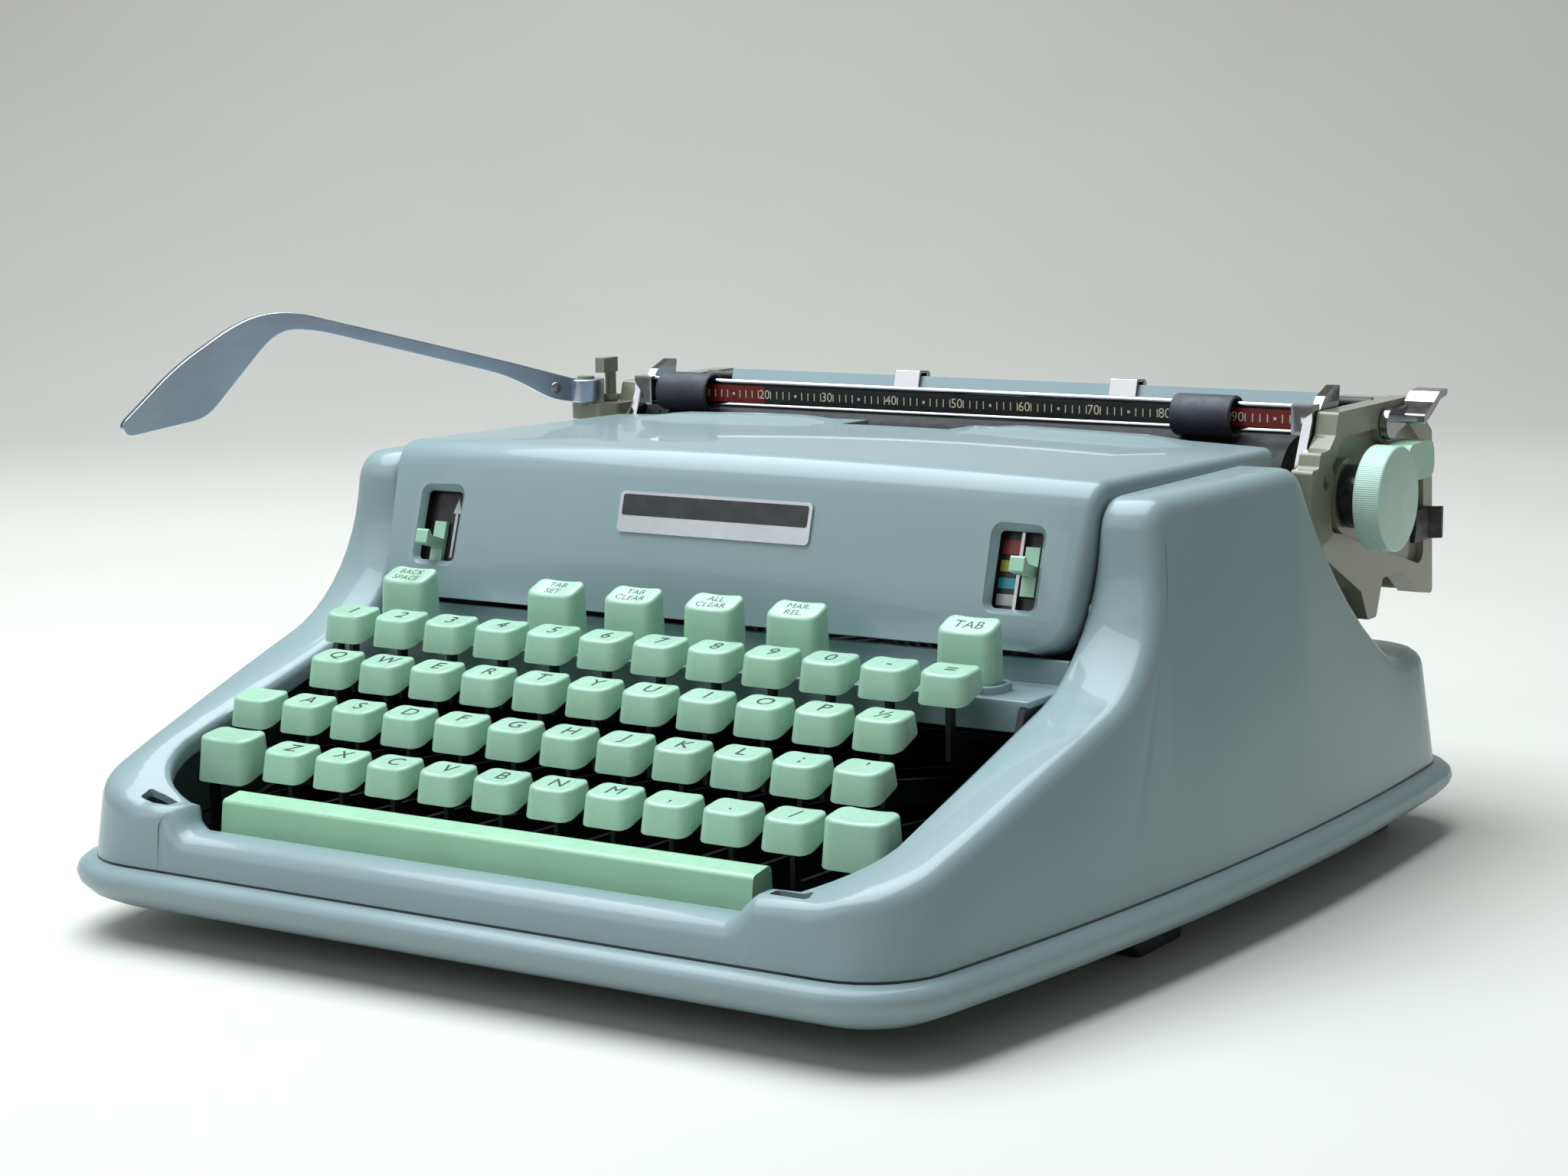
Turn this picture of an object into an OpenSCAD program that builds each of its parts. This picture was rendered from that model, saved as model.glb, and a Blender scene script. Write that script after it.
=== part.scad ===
// Portable typewriter with a bowed sheet shell, a hinged top cover, a sliding carriage and a key bank.
// +X is the typist's right, +Y points away from the typist, +Z is up, and the feet stand on z = 0.

/* [Shell and base] */
// Height of the crease where the shell sits on the base
crease_z = 22; // [18:1:28]
// Distance from the origin forward to the front crease
front_y = 165; // [160:1:175]
// Half length of the straight front edge
front_half = 117.2; // [112:0.2:124]
// Plan radius of the four shell corners
corner_r = 24; // [18:1:30]
// Plan radius of the bowed long sides
side_r = 1224; // [1000:1:1600]
// Angle by which the sides open out behind the front corners
front_flare = 9.6; // [8:0.1:11]
// Angle by which the sides close in before the rear corners
rear_taper = 4; // [3:0.1:6]
// Inward lean of the shell walls per millimetre of height
wall_draft = 0.13; // [0.08:0.01:0.16]
// Sheet thickness of shell, hood and shelf
wall = 2; // [1.2:0.1:2.4]
// Rounding of the outer ridge
edge_r = 5; // [4:0.5:7]
// Height of the front lip before the space bar
lip_z = 33; // [30:1:36]
// Height of the front corners of the shell
corner_z = 40; // [37:1:44]
// Half length of the lowered lip, from its middle to the step at a corner
lip_step_x = 95.5; // [92:0.5:98]
// Distance by which the lowered lip lies left of the middle
lip_shift = 3.7; // [0:0.1:5]
// Length over which the lip rises to the corner
lip_step_len = 9; // [6:0.5:14]
// Half width of the keyboard opening
open_half = 122; // [121.5:0.1:124]
// Distance from the origin forward to the inner edge of the lip
lip_in_y = 150.5; // [150:0.5:154]
// Plan radius of the opening's front corners
open_r = 20; // [14:1:24]
// Depth of the flange round the opening
flange_h = 6; // [4:0.5:8]
// Distance from the origin back to the inner edge of the rear deck
rear_in_y = 152; // [148:1:156]
// Width by which the base rim stands outside the crease
rim_out = 6; // [4:0.5:9]
// Height of the base pan's underside
pan_z = 8; // [6:0.5:10]
// Thickness of the base pan's floor
pan_t = 2.5; // [1.5:0.5:4]
// Width of the rolled slope from the pan's flat floor to the crease
pan_slope = 13; // [11:1:18]

/* [Cheek profile] */
// Height of the side ridge where it leaves the front corner
slope_z = 48.2; // [45:0.2:51]
// Angle of the sloping key bank
slope_deg = 16.6; // [14:0.2:19]
// Length of the sloping ridge
slope_len = 88.7; // [84:0.5:92]
// Radius of the sweep up to the cheek
sweep_r = 42; // [36:1:48]
// Radius of the cheek's top corners
cheek_r = 9; // [8:0.5:11]
// Length of the cheek's flat top
cheek_len = 78; // [72:1:82]
// Radius of the hollow sweep down to the rear deck
notch_r = 125; // [118:1:130]

/* [Hood] */
// Height of the hood's lower front edge
hood_z = 84.5; // [82:0.5:87]
// Distance from the origin forward to the hood's lower front edge
hood_y = 43.5; // [42:0.5:46]
// Lean of the hood's front panel from the horizontal
panel_deg = 72.5; // [70:0.5:76]
// Length of the flat front panel
panel_len = 41; // [38:0.5:44]
// Radius between front panel and top
hood_r = 10; // [8:0.5:13]
// Length of the hood's top
top_len = 109; // [104:1:110]
// Rise of the hood's top between its sides
crown = 2.4; // [1:0.2:3]
// Gap between the hood and the cheeks
hood_gap = 0.8; // [0.5:0.1:1.5]
// Widening of hood and opening per millimetre of height
hood_flare = 0.066; // [0.04:0.002:0.08]
// Radius of the lower corners of the front panel
panel_corner_r = 10; // [6:1:14]
// Width of the type slot in the rear edge
type_slot_w = 40; // [34:1:50]
// Depth of the type slot
type_slot_d = 17; // [12:1:22]
// Width of a window in the front panel
window_w = 13.5; // [11:0.5:16]
// Height of a window in the front panel
window_h = 22; // [18:1:26]
// Distance from the middle to a window's centre
window_x = 102.2; // [96:0.2:106]

/* [Keys] */
// Sideways distance between keys
key_pitch = 19.05; // [18.6:0.05:19.4]
// Distance between key rows, front to back
row_dy = 18.8; // [18.4:0.1:20]
// Height between key rows
row_dz = 10.1; // [9:0.1:11]
// Width of a key cap at its skirt
cap_w = 15.2; // [14:0.1:17]
// Width of a key cap's top
cap_top_w = 14.2; // [12:0.1:15]
// Depth of a key cap
cap_d = 12; // [10:0.5:13]
// Height of a key cap's front
cap_h = 8.7; // [8:0.1:11]
// Rise of a key cap's top from front to back
cap_tilt = 1.5; // [0.5:0.1:2.5]
// Width of a shift key
shift_w = 19; // [18:0.5:21]
// Thickness of a key lever
lever_t = 1.6; // [1.2:0.1:2]
// Width of a function key
fn_w = 18.5; // [17:0.5:22]
// Depth of a function key
fn_d = 10; // [9:0.5:12]
// Height of a function key's top at its back
fn_top_z = 95.2; // [92:0.2:97]
// Fall of a function key's top towards the typist
fn_fall = 3.5; // [1.5:0.1:4]
// Length of the space bar
space_len = 181; // [170:1:184]
// Height of the shelf's top round the function keys
shelf_z = 75; // [73:0.5:77]

/* [Carriage] */
// Distance from the origin back to the platen's axis
platen_y = 119; // [117:0.5:121]
// Height of the platen's axis
platen_z = 111; // [110:0.5:113]
// Radius of the platen
platen_r = 18.5; // [16:0.5:19]
// Length of the platen
platen_len = 240; // [232:1:244]
// Radius of the platen's shaft
shaft_r = 4; // [3:0.5:5]
// Gap between an end of the platen and the end plate
platen_gap = 9; // [8:0.5:13]
// Thickness of an end plate
plate_t = 7; // [5:0.5:9]
// Radius of a platen knob
knob_r = 16.5; // [14:0.5:17]
// Thickness of a platen knob
knob_t = 9; // [7:0.5:12]
// Gap between end plate and knob, filled by a collar
collar_t = 8; // [6:0.5:10]
// Depth of the carriage rail, front to back
rail_d = 12; // [9:0.5:13]
// Height of the carriage rail
rail_h = 11; // [8:0.5:11]
// Distance of the bail bar before the platen's axis
bail_dy = 8.5; // [7:0.5:10]
// Height of the bail's scale
scale_h = 6; // [5:0.5:6.5]
// Radius of a bail roller
roller_r = 6.75; // [5.5:0.25:7]
// Length of a bail roller
roller_len = 21; // [16:1:26]
// Reach of the return lever from its pivot to its tip
return_len = 174; // [160:1:178]
// Angle of the return lever to the left of straight ahead
return_deg = 24; // [18:1:30]

/* [Type action] */
// Radius of the arc on which the typebars hang
segment_r = 58; // [54:1:60]
// Number of typebars
typebars_n = 44; // [36:1:46]
// Half angle of the typebar fan
fan_deg = 76; // [68:1:80]
// Radius of a ribbon spool
spool_r = 24; // [20:1:25]
// Drop of the type basket for capitals
shift_drop = 6.5; // [5:0.5:7]

/* [Fits] */
// Radial clearance of a shaft in its bore
shaft_fit = 0.05; // [0.02:0.01:0.1]
// Clearance between parts that move past each other
run_gap = 0.4; // [0.3:0.05:0.6]

/* [Hidden] */
$fn = 48;

body_col = [0.58, 0.66, 0.65];
key_col = [0.58, 0.75, 0.63];
plate_col = [0.58, 0.58, 0.50];
dark_col = [0.12, 0.12, 0.13];
steel_col = [0.62, 0.63, 0.65];
rubber_col = [0.08, 0.08, 0.09];

// Small shared functions
function unit(v) = v / norm(v);
function smooth(t) = let (c = min(1, max(0, t))) c * c * (3 - 2 * c);
function last(v) = v[len(v) - 1];
function flip(p) = [-p[0], p[1], p[2]];

// Points along a path of straight moves [length, 0, steps] and arcs [radius, turn, steps]
function walk(at, heading, moves, i = 0) =
    i == len(moves) ? [] :
    let (m = moves[i],
         s = sign(m[1]),
         pts = [for (k = [1 : m[2]])
             let (a = heading + m[1] * k / m[2])
             m[1] == 0
                 ? at + m[0] * k / m[2] * [cos(heading), sin(heading)]
                 : at + s * m[0] * [sin(a) - sin(heading), cos(heading) - cos(a)]])
    concat(pts, walk(last(pts), heading + m[1], moves, i + 1));

// Outline with each corner rounded to radius r
function rounded(pts, r, n = 4) =
    [for (i = [0 : len(pts) - 1])
        let (p = pts[i],
             a = unit(pts[(i + len(pts) - 1) % len(pts)] - p),
             b = unit(pts[(i + 1) % len(pts)] - p),
             half = acos(max(-1, min(1, a * b))) / 2,
             reach = r / tan(half),
             centre = p + unit(a + b) * r / sin(half),
             from = p + a * reach - centre,
             to = p + b * reach - centre)
        for (k = [0 : n])
            let (t = k / n, mid = unit(from * (1 - t) + to * t))
            centre + r * mid];

// Clockwise outline moved inwards by d
function inset(pts, d) =
    [for (i = [0 : len(pts) - 1])
        let (a = unit(pts[i] - pts[(i + len(pts) - 1) % len(pts)]),
             b = unit(pts[(i + 1) % len(pts)] - pts[i]),
             na = [a[1], -a[0]],
             nb = [b[1], -b[0]])
        pts[i] + d * (na + nb) / (1 + na * nb)];

// Closed solid between an outer and an inner grid of points; closed joins the last row to the first
module sheet(outer, inner, closed = false) {
    rows = len(outer);
    cols = len(outer[0]);
    total = rows * cols;
    spans = closed ? rows : rows - 1;
    at = function(i, j) (i % rows) * cols + j;
    pts = concat([for (row = outer) each row], [for (row = inner) each row]);
    skins = [for (i = [0 : spans - 1], j = [0 : cols - 2])
        let (a = at(i, j), b = at(i, j + 1), c = at(i + 1, j + 1), d = at(i + 1, j))
        each [[a, b, c], [a, c, d],
              [total + a, total + c, total + b], [total + a, total + d, total + c]]];
    edges = [for (i = [0 : spans - 1])
        let (a = at(i, 0), d = at(i + 1, 0), b = at(i, cols - 1), c = at(i + 1, cols - 1))
        each [[a, d, total + d], [a, total + d, total + a],
              [b, total + c, c], [b, total + b, total + c]]];
    ends = closed ? [] : [for (j = [0 : cols - 2])
        let (a = at(0, j), b = at(0, j + 1), d = at(rows - 1, j), c = at(rows - 1, j + 1))
        each [[a, total + b, b], [a, total + a, total + b],
              [d, c, total + c], [d, total + c, total + d]]];
    polyhedron(pts, concat(skins, edges, ends), convexity = 8);
}

// Solid skinned over a stack of closed loops with the same number of points
module stack(loops) {
    n = len(loops[0]);
    sides = [for (k = [0 : len(loops) - 2], i = [0 : n - 1])
        let (a = k * n + i, b = k * n + (i + 1) % n)
        each [[a, b + n, b], [a, a + n, b + n]]];
    bottom = [for (i = [0 : n - 1]) i];
    top = [for (i = [n - 1 : -1 : 0]) (len(loops) - 1) * n + i];
    polyhedron([for (loop = loops) each loop], concat(sides, [bottom, top]), convexity = 8);
}

// Profile given as (y, z) points, extruded along X from x0 over the given length
module along_x(x0, length) translate([x0, 0, 0]) rotate([90, 0, 90]) linear_extrude(length) children();
// Round bar along X
module bar_x(x0, length, r) translate([x0, 0, 0]) rotate([0, 90, 0]) cylinder(h = length, r = r);
module both_sides() {
    children();
    mirror([1, 0, 0]) children();
}

// Plan of the crease: corner, bowed side, corner
side_head = 90 - front_flare;
rear_head = 90 + rear_taper;
corner_a = [front_half, corner_r - front_y];
side_start = corner_a + corner_r * [sin(side_head), -cos(side_head)];
side_c = side_start - side_r * [sin(side_head), -cos(side_head)];
side_end = side_c + side_r * [sin(rear_head), -cos(rear_head)];
corner_b = side_end - corner_r * [sin(rear_head), -cos(rear_head)];
rear_y = corner_b[1] + corner_r;
corner_steps = 7;

function side_x(y) = side_c[0] + sqrt(side_r * side_r - (y - side_c[1]) * (y - side_c[1]));
function lean(z) = wall_draft * (z - crease_z);
function arc_points(centre, r, h0, h1, n) =
    [for (k = [0 : n]) let (h = h0 + (h1 - h0) * k / n) centre + r * [sin(h), -cos(h)]];
function half_plan(d) = concat(
    arc_points(corner_a, corner_r + d, 0, side_head, corner_steps),
    [for (k = [1 : 9])
        let (h = side_head + (rear_head - side_head) * k / 10)
        side_c + (side_r + d) * [sin(h), -cos(h)]],
    arc_points(corner_b, corner_r + d, rear_head, 180, corner_steps));
function plan_loop(d, z) = let (h = half_plan(d)) concat(
    [for (p = h) [p[0], p[1], z]],
    [for (i = [len(h) - 1 : -1 : 0]) [-h[i][0], h[i][1], z]]);

// Side ridge of the shell as (y, z): slope, sweep up, cheek top, hollow sweep down, rear deck
ridge_steep = 88;
notch_steep = 66;
notch_low = 28;
deck_blend_r = 30;
cheek_front_len = 5.5;
ridge_walk = walk([side_start[1], slope_z], slope_deg, [
    [slope_len, 0, 6],
    [sweep_r, ridge_steep - slope_deg, 9],
    [cheek_front_len, 0, 1],
    [cheek_r, -ridge_steep, 5],
    [cheek_len, 0, 4],
    [cheek_r - 1, -notch_steep, 4],
    [notch_r, notch_steep - notch_low, 7],
    [deck_blend_r, notch_low, 3]]);
deck_z = last(ridge_walk)[1];
ridge = concat([[side_start[1], slope_z]], ridge_walk, [[side_end[1] - 1, deck_z]]);

function opening_x(z) = open_half + hood_flare * max(0, z - hood_z);

// Stations round one half of the shell, each [crease point, ridge point, inner edge point]
inner_straight = open_half - open_r;
inner_keep = inner_straight - 4;
function inner_front_x(x) = x < inner_keep ? x
    : inner_keep + (x - inner_keep) * (inner_straight - inner_keep) / (front_half - inner_keep);
lip_steps = 8;
function step_x(side) = lip_step_x - side * lip_shift;
function front_x(side) = concat([0, step_x(side) * 0.6],
    [for (k = [0 : lip_steps]) step_x(side) + lip_step_len * (k / lip_steps - 0.5)], [front_half - 4]);
function front_z(x, side) =
    lip_z + (corner_z - lip_z) * smooth((x - step_x(side)) / lip_step_len + 0.5);
function front_stations(side) = [for (x = front_x(side))
    let (z = front_z(x, side))
    [[x, -front_y, crease_z], [x, lean(z) - front_y, z], [inner_front_x(x), -lip_in_y, z]]];
corner_lag = open_r - lip_in_y - side_start[1];
corner_stations = [for (k = [0 : corner_steps])
    let (t = k / corner_steps,
         h = side_head * t,
         z = corner_z + (slope_z - corner_z) * t,
         in_h = 90 * t,
         o = corner_a + corner_r * [sin(h), -cos(h)],
         e = corner_a + (corner_r - lean(z)) * [sin(h), -cos(h)],
         n = [inner_straight, open_r - lip_in_y] + open_r * [sin(in_h), -cos(in_h)])
    [[o[0], o[1], crease_z], [e[0], e[1], z], [n[0], n[1], z + t * corner_lag * tan(slope_deg)]]];
lag_len = 60;
function inner_lag(y) = corner_lag * (1 - smooth((y - side_start[1]) / lag_len));
side_stations = [for (k = [1 : len(ridge) - 1])
    let (p = ridge[k],
         b = side_start[1] + (side_end[1] - side_start[1]) * k / len(ridge),
         lag = inner_lag(p[0]))
    [[side_x(b), b, crease_z], [side_x(p[0]) - lean(p[1]), p[0], p[1]],
     [opening_x(p[1]), p[0] + lag, p[1] + lag * tan(slope_deg)]]];
rear_corner_r = side_end[1] < rear_in_y ? rear_in_y - side_end[1] : 4;
rear_stations = [for (k = [0 : corner_steps])
    let (t = k / corner_steps,
         h = rear_head + (180 - rear_head) * t,
         in_h = 90 + 90 * t,
         o = corner_b + corner_r * [sin(h), -cos(h)],
         e = corner_b + (corner_r - lean(deck_z)) * [sin(h), -cos(h)],
         n = [open_half - rear_corner_r, rear_in_y - rear_corner_r]
             + rear_corner_r * [sin(in_h), -cos(in_h)])
    [[o[0], o[1], crease_z], [e[0], e[1], deck_z], [n[0], n[1], deck_z]]];
rear_middle = [[0, rear_y, crease_z], [0, rear_y - lean(deck_z), deck_z], [0, rear_in_y, deck_z]];
function stations(side) =
    concat(front_stations(side), corner_stations, side_stations, rear_stations, [rear_middle]);

lip_r = wall + 0.5;
function tangent(st, i) =
    i == 0 ? [1, 0, 0] :
    i == len(st) - 1 ? [-1, 0, 0] :
    unit(unit(st[i + 1][1] - st[i][1]) + unit(st[i][1] - st[i - 1][1]));
function inward(s) = unit([s[2][0] - s[1][0], s[2][1] - s[1][1], 0]);
// One cross section of the shell skin, set back from the outside by the given depth
function skin_row(st, i, depth) =
    let (s = st[i],
         u = inward(s),
         n = unit(cross(-u, tangent(st, i))),
         r = edge_r - depth,
         q = lip_r - depth)
    concat([s[0] + depth * u],
        [for (a = [0 : 22.5 : 90])
            s[1] + (depth + r * (1 - cos(a))) * u
            - (depth + r * (1 - sin(a))) * n
            - u * wall_draft * edge_r * (1 - sin(a)) * n[2]],
        [for (a = [90 : -45 : 0])
            s[2] - (depth + q * (1 - cos(a))) * u - (depth + q * (1 - sin(a))) * n],
        [s[2] - depth * u - flange_h * n]);
function skin_rows(depth) =
    let (right = stations(1), left = stations(-1))
    concat([for (i = [0 : len(right) - 1]) skin_row(right, i, depth)],
        [for (i = [len(left) - 2 : -1 : 1]) [for (p = skin_row(left, i, depth)) flip(p)]]);

// Slots in the front corners that take the hooks of the carrying cover
slot_w = 4.4;
slot_len = 11;
slot_in = 6;
slot_y = -lip_in_y - lip_r - slot_w / 2 - 0.4;
module latch_slot(side)
    translate([side * (step_x(side) + slot_in + slot_len / 2), slot_y, corner_z - 2 * wall])
        linear_extrude(4 * wall)
            polygon(rounded([for (c = [[-1, -1], [1, -1], [1, 1], [-1, 1]])
                [c[0] * slot_len / 2, c[1] * slot_w / 2]], 1));
module body_shell() color(body_col) difference() {
    sheet(skin_rows(0), skin_rows(wall), true);
    latch_slot(-1);
    latch_slot(1);
}

// Base pan: flat floor, rolled rim that stands outside the crease, ledge under the shell
pan_floor_z = pan_z + pan_t;
pan_profile = [
    [-pan_slope, pan_z],
    [-pan_slope * 0.4, pan_z + 1.2],
    [rim_out * 0.3, pan_z + 4.4],
    [rim_out * 0.85, pan_z + 7.6],
    [rim_out, crease_z - 4],
    [rim_out * 0.9, crease_z - 2],
    [rim_out * 0.6, crease_z - 0.5],
    [rim_out * 0.2, crease_z],
    [-wall * 2, crease_z],
    [-wall * 2, crease_z - 2.5],
    [-pan_slope * 0.4, pan_floor_z + 3],
    [-pan_slope, pan_floor_z]];
module base_pan() color(body_col) stack([for (p = pan_profile) plan_loop(p[0], p[1])]);

// Four rubber feet under the flat floor of the pan
foot_w = 18;
foot_x = 132;
front_foot_y = [-44, -7];
rear_foot_y = [126, 148];
module foot(span) along_x(foot_x - foot_w / 2, foot_w)
    polygon([[span[0] + 8, 0], [span[1] - 3, 0], [span[1], pan_z], [span[0], pan_z]]);
module feet() color(rubber_col) both_sides() {
    foot(front_foot_y);
    foot(rear_foot_y);
}

// Key geometry: rows are counted from the back, row 0 being the numbers
row_n = [12, 11, 11, 10];
row_stagger = [-1.25, -0.75, -0.5, 0];
first_x = -84.5;
lower_cap_y = -134;
lower_cap_z = 43.9;
cap_rise = 0.4;
fulcrum_y = 62;
fulcrum_z = 27;
fulcrum_r = 2.5;
hub_r = 5;
lever_h = 7;
stem_drop = 9;
stem_d = 3;
stem_y = 6;
stem_sink = 2;
function row_y(r) = lower_cap_y + (3 - r) * row_dy;
function row_z(r) = lower_cap_z + (3 - r) * row_dz;
function key_x(r, i) = first_x + (row_stagger[r] + i) * key_pitch;

// Cap with a dished top that faces the typist; its skirt is long in front and short behind
cap_lean = [1.2, 0.8];
cap_edge_r = 1.5;
cap_corner_r = 3;
cap_over = 0.4;
module key_cap(w, w_top, d, h) {
    top = h + cap_tilt;
    half = w / 2 + cap_over;
    angle = atan(cap_tilt / (d - cap_lean[0] - cap_lean[1]));
    difference() {
        intersection() {
            along_x(-w / 2, w) polygon(rounded([[0, 0], [d, d * cap_rise], [d - cap_lean[1], top],
                [cap_lean[0], h]], cap_edge_r, 3));
            translate([0, cap_lean[0], h]) tilted_sides(angle, d)
                polygon(rounded([[-w / 2, -h], [w / 2, -h], [w_top / 2, 0], [-w_top / 2, 0]],
                    cap_edge_r, 3));
            linear_extrude(top)
                polygon(rounded([[-half, -cap_over], [half, -cap_over], [half, d + cap_over],
                    [-half, d + cap_over]], cap_corner_r + cap_over, 3));
        }
        translate([0, cap_lean[0], h]) tilted_dish(angle, d);
    }
}
// Front view of a key drawn from its top down and run backwards along the slope of the top
module tilted_sides(angle, d) rotate([angle, 0, 0]) translate([0, 3 * d, 0]) rotate([90, 0, 0])
    linear_extrude(6 * d) children();
// Shallow round hollow along the top of a key, to be cut from its front edge backwards
dish_r = 52;
dish = 0.35;
module tilted_dish(angle, d) rotate([angle, 0, 0]) translate([0, 0, dish_r - dish]) rotate([90, 0, 0])
    cylinder(h = 4 * d, r = dish_r, center = true, $fn = 96);
module row_caps(r) color(key_col)
    for (i = [0 : row_n[r] - 1])
        translate([key_x(r, i), row_y(r), row_z(r)])
            key_cap(cap_w, cap_top_w, cap_d, cap_h);

// Flat lever from the fulcrum to an upright stem under a cap whose front corner is at (y, z)
module key_lever(x, y, z, sink = 0) {
    back = y + stem_y + stem_d / 2;
    front = back - stem_d;
    arm_z = z - stem_drop;
    difference() {
        union() {
            along_x(x - lever_t / 2, lever_t)
                polygon([[front, z + cap_rise * (front - y) + sink],
                    [back, z + cap_rise * (back - y) + sink],
                    [back, arm_z], [fulcrum_y, fulcrum_z + hub_r - 1],
                    [fulcrum_y, fulcrum_z - hub_r + 1], [front, arm_z - lever_h]]);
            translate([0, fulcrum_y, fulcrum_z]) bar_x(x - lever_t / 2, lever_t, hub_r);
        }
        translate([0, fulcrum_y, fulcrum_z]) bar_x(x - lever_t, 2 * lever_t, fulcrum_r + shaft_fit);
    }
}
module row_levers(r) color(dark_col)
    for (i = [0 : row_n[r] - 1])
        key_lever(key_x(r, i), row_y(r), row_z(r));

module number_row_caps() row_caps(0);
module upper_row_caps() row_caps(1);
module home_row_caps() row_caps(2);
module lower_row_caps() row_caps(3);
module number_row_levers() row_levers(0);
module upper_row_levers() row_levers(1);
module home_row_levers() row_levers(2);
module lower_row_levers() row_levers(3);

// Shift keys ride on levers outside the key bank
shift_lane = 115.1;
shift_mid = 107.3;
shift_extra_h = 2.5;
shift_rise = 1.8;
module shift_key(side) color(key_col) {
    translate([side * shift_mid, row_y(3), row_z(3) - shift_extra_h])
        key_cap(shift_w, shift_w - cap_w + cap_top_w, cap_d, cap_h + shift_extra_h + shift_rise);
    key_lever(side * shift_lane, row_y(3), row_z(3) - shift_extra_h, stem_sink);
}
module shift_left() shift_key(-1);
module shift_right() shift_key(1);
module shift_lock() color(key_col) {
    translate([key_x(2, -1), row_y(2), row_z(2)]) key_cap(cap_w, cap_top_w, cap_d, cap_h);
    key_lever(key_x(2, -1), row_y(2), row_z(2), stem_sink);
}

// Space bar with its cross rod and two arms to the key fulcrum
space_mid = -4.5;
space_y = -148;
space_d = 11;
space_z = [28.5, 41];
space_rod_z = 23;
space_rod_r = 2.5;
space_arms = [-103.5, 109];
space_stems = [-75, 66];
module space_bar() color(key_col) {
    rod_y = space_y + space_d / 2;
    along_x(space_mid - space_len / 2, space_len)
        polygon(rounded([[space_y, space_z[0]], [space_y + space_d, space_z[0]],
            [space_y + space_d - 1, space_z[1] + 1], [space_y + 1.5, space_z[1] - 0.5]], 1.6));
    for (x = space_stems)
        translate([x - 2, rod_y - 1.5, space_rod_z]) cube([4, 3, space_z[0] - space_rod_z + 1]);
    translate([0, rod_y, space_rod_z])
        bar_x(space_arms[0] - lever_t / 2, space_arms[1] - space_arms[0] + lever_t, space_rod_r);
    for (x = space_arms)
        difference() {
            union() {
                along_x(x - lever_t / 2, lever_t)
                    polygon([[rod_y - 3, space_rod_z - 3], [rod_y - 3, space_rod_z + 3],
                        [fulcrum_y, fulcrum_z + hub_r - 1], [fulcrum_y, fulcrum_z - hub_r + 1]]);
                translate([0, fulcrum_y, fulcrum_z]) bar_x(x - lever_t / 2, lever_t, hub_r);
            }
            translate([0, fulcrum_y, fulcrum_z]) bar_x(x - lever_t, 2 * lever_t, fulcrum_r + shaft_fit);
        }
}

// Function keys: upright plungers guided by the shelf
fn_x = [-98.5, -42.5, -14.2, 14.2, 42.5, 98.5];
fn_y = -61;
fn_low_z = 70;
fn_top_in = 0.7;
fn_corner_r = 2.5;
fn_edge_r = 1.2;
module fn_key(i) color(key_col) translate([fn_x[i], fn_y, fn_low_z]) {
    h = fn_top_z - fn_low_z;
    w = fn_w / 2;
    angle = atan(fn_fall / (fn_d - 2 * fn_top_in));
    difference() {
        intersection() {
            along_x(-w, fn_w)
                polygon(rounded([[0, 0], [fn_d, 0], [fn_d - fn_top_in, h], [fn_top_in, h - fn_fall]],
                    fn_edge_r, 3));
            translate([0, fn_top_in, h - fn_fall]) tilted_sides(angle, fn_d)
                polygon(rounded([[-w, -2 * h], [w, -2 * h], [w - fn_top_in, 0], [fn_top_in - w, 0]],
                    fn_edge_r, 3));
            translate([0, fn_d / 2, 0]) linear_extrude(h) fn_outline(0);
        }
        translate([0, fn_top_in, h - fn_fall]) tilted_dish(angle, fn_d);
    }
}
module back_key() fn_key(0);
module tab_set_key() fn_key(1);
module tab_clear_key() fn_key(2);
module all_clear_key() fn_key(3);
module margin_release_key() fn_key(4);
module tabulator_key() fn_key(5);

// Shelf round the function keys: top, front wall, rear upstand and a raised rim round each key
shelf_half = open_half - 0.7;
shelf_front_y = -64.4;
shelf_rear_y = -39;
shelf_low_z = 66;
rim_h = 2.5;
rim_t = 1.6;
upstand_gap = 1.2;
module key_shelf() color(body_col) difference() {
    union() {
        translate([-shelf_half, shelf_front_y, shelf_z - wall])
            cube([2 * shelf_half, shelf_rear_y - shelf_front_y, wall]);
        translate([run_gap - frame_x, shelf_front_y, shelf_low_z])
            cube([2 * (frame_x - run_gap), wall, shelf_z - shelf_low_z - wall / 2]);
        translate([-shelf_half, shelf_rear_y - wall, shelf_z - wall / 2])
            cube([2 * shelf_half, wall, hood_z - upstand_gap - shelf_z]);
        for (x = fn_x)
            translate([x, fn_y + fn_d / 2, shelf_z - wall / 2])
                linear_extrude(rim_h + wall / 2) fn_outline(run_gap + rim_t);
    }
    for (x = fn_x)
        translate([x, fn_y + fn_d / 2, shelf_low_z + 1])
            linear_extrude(40) fn_outline(run_gap);
}
module fn_outline(grow) {
    w = fn_w / 2 + grow;
    d = fn_d / 2 + grow;
    polygon(rounded([[-w, -d], [w, -d], [w, d], [-w, d]], fn_corner_r + grow));
}

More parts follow.
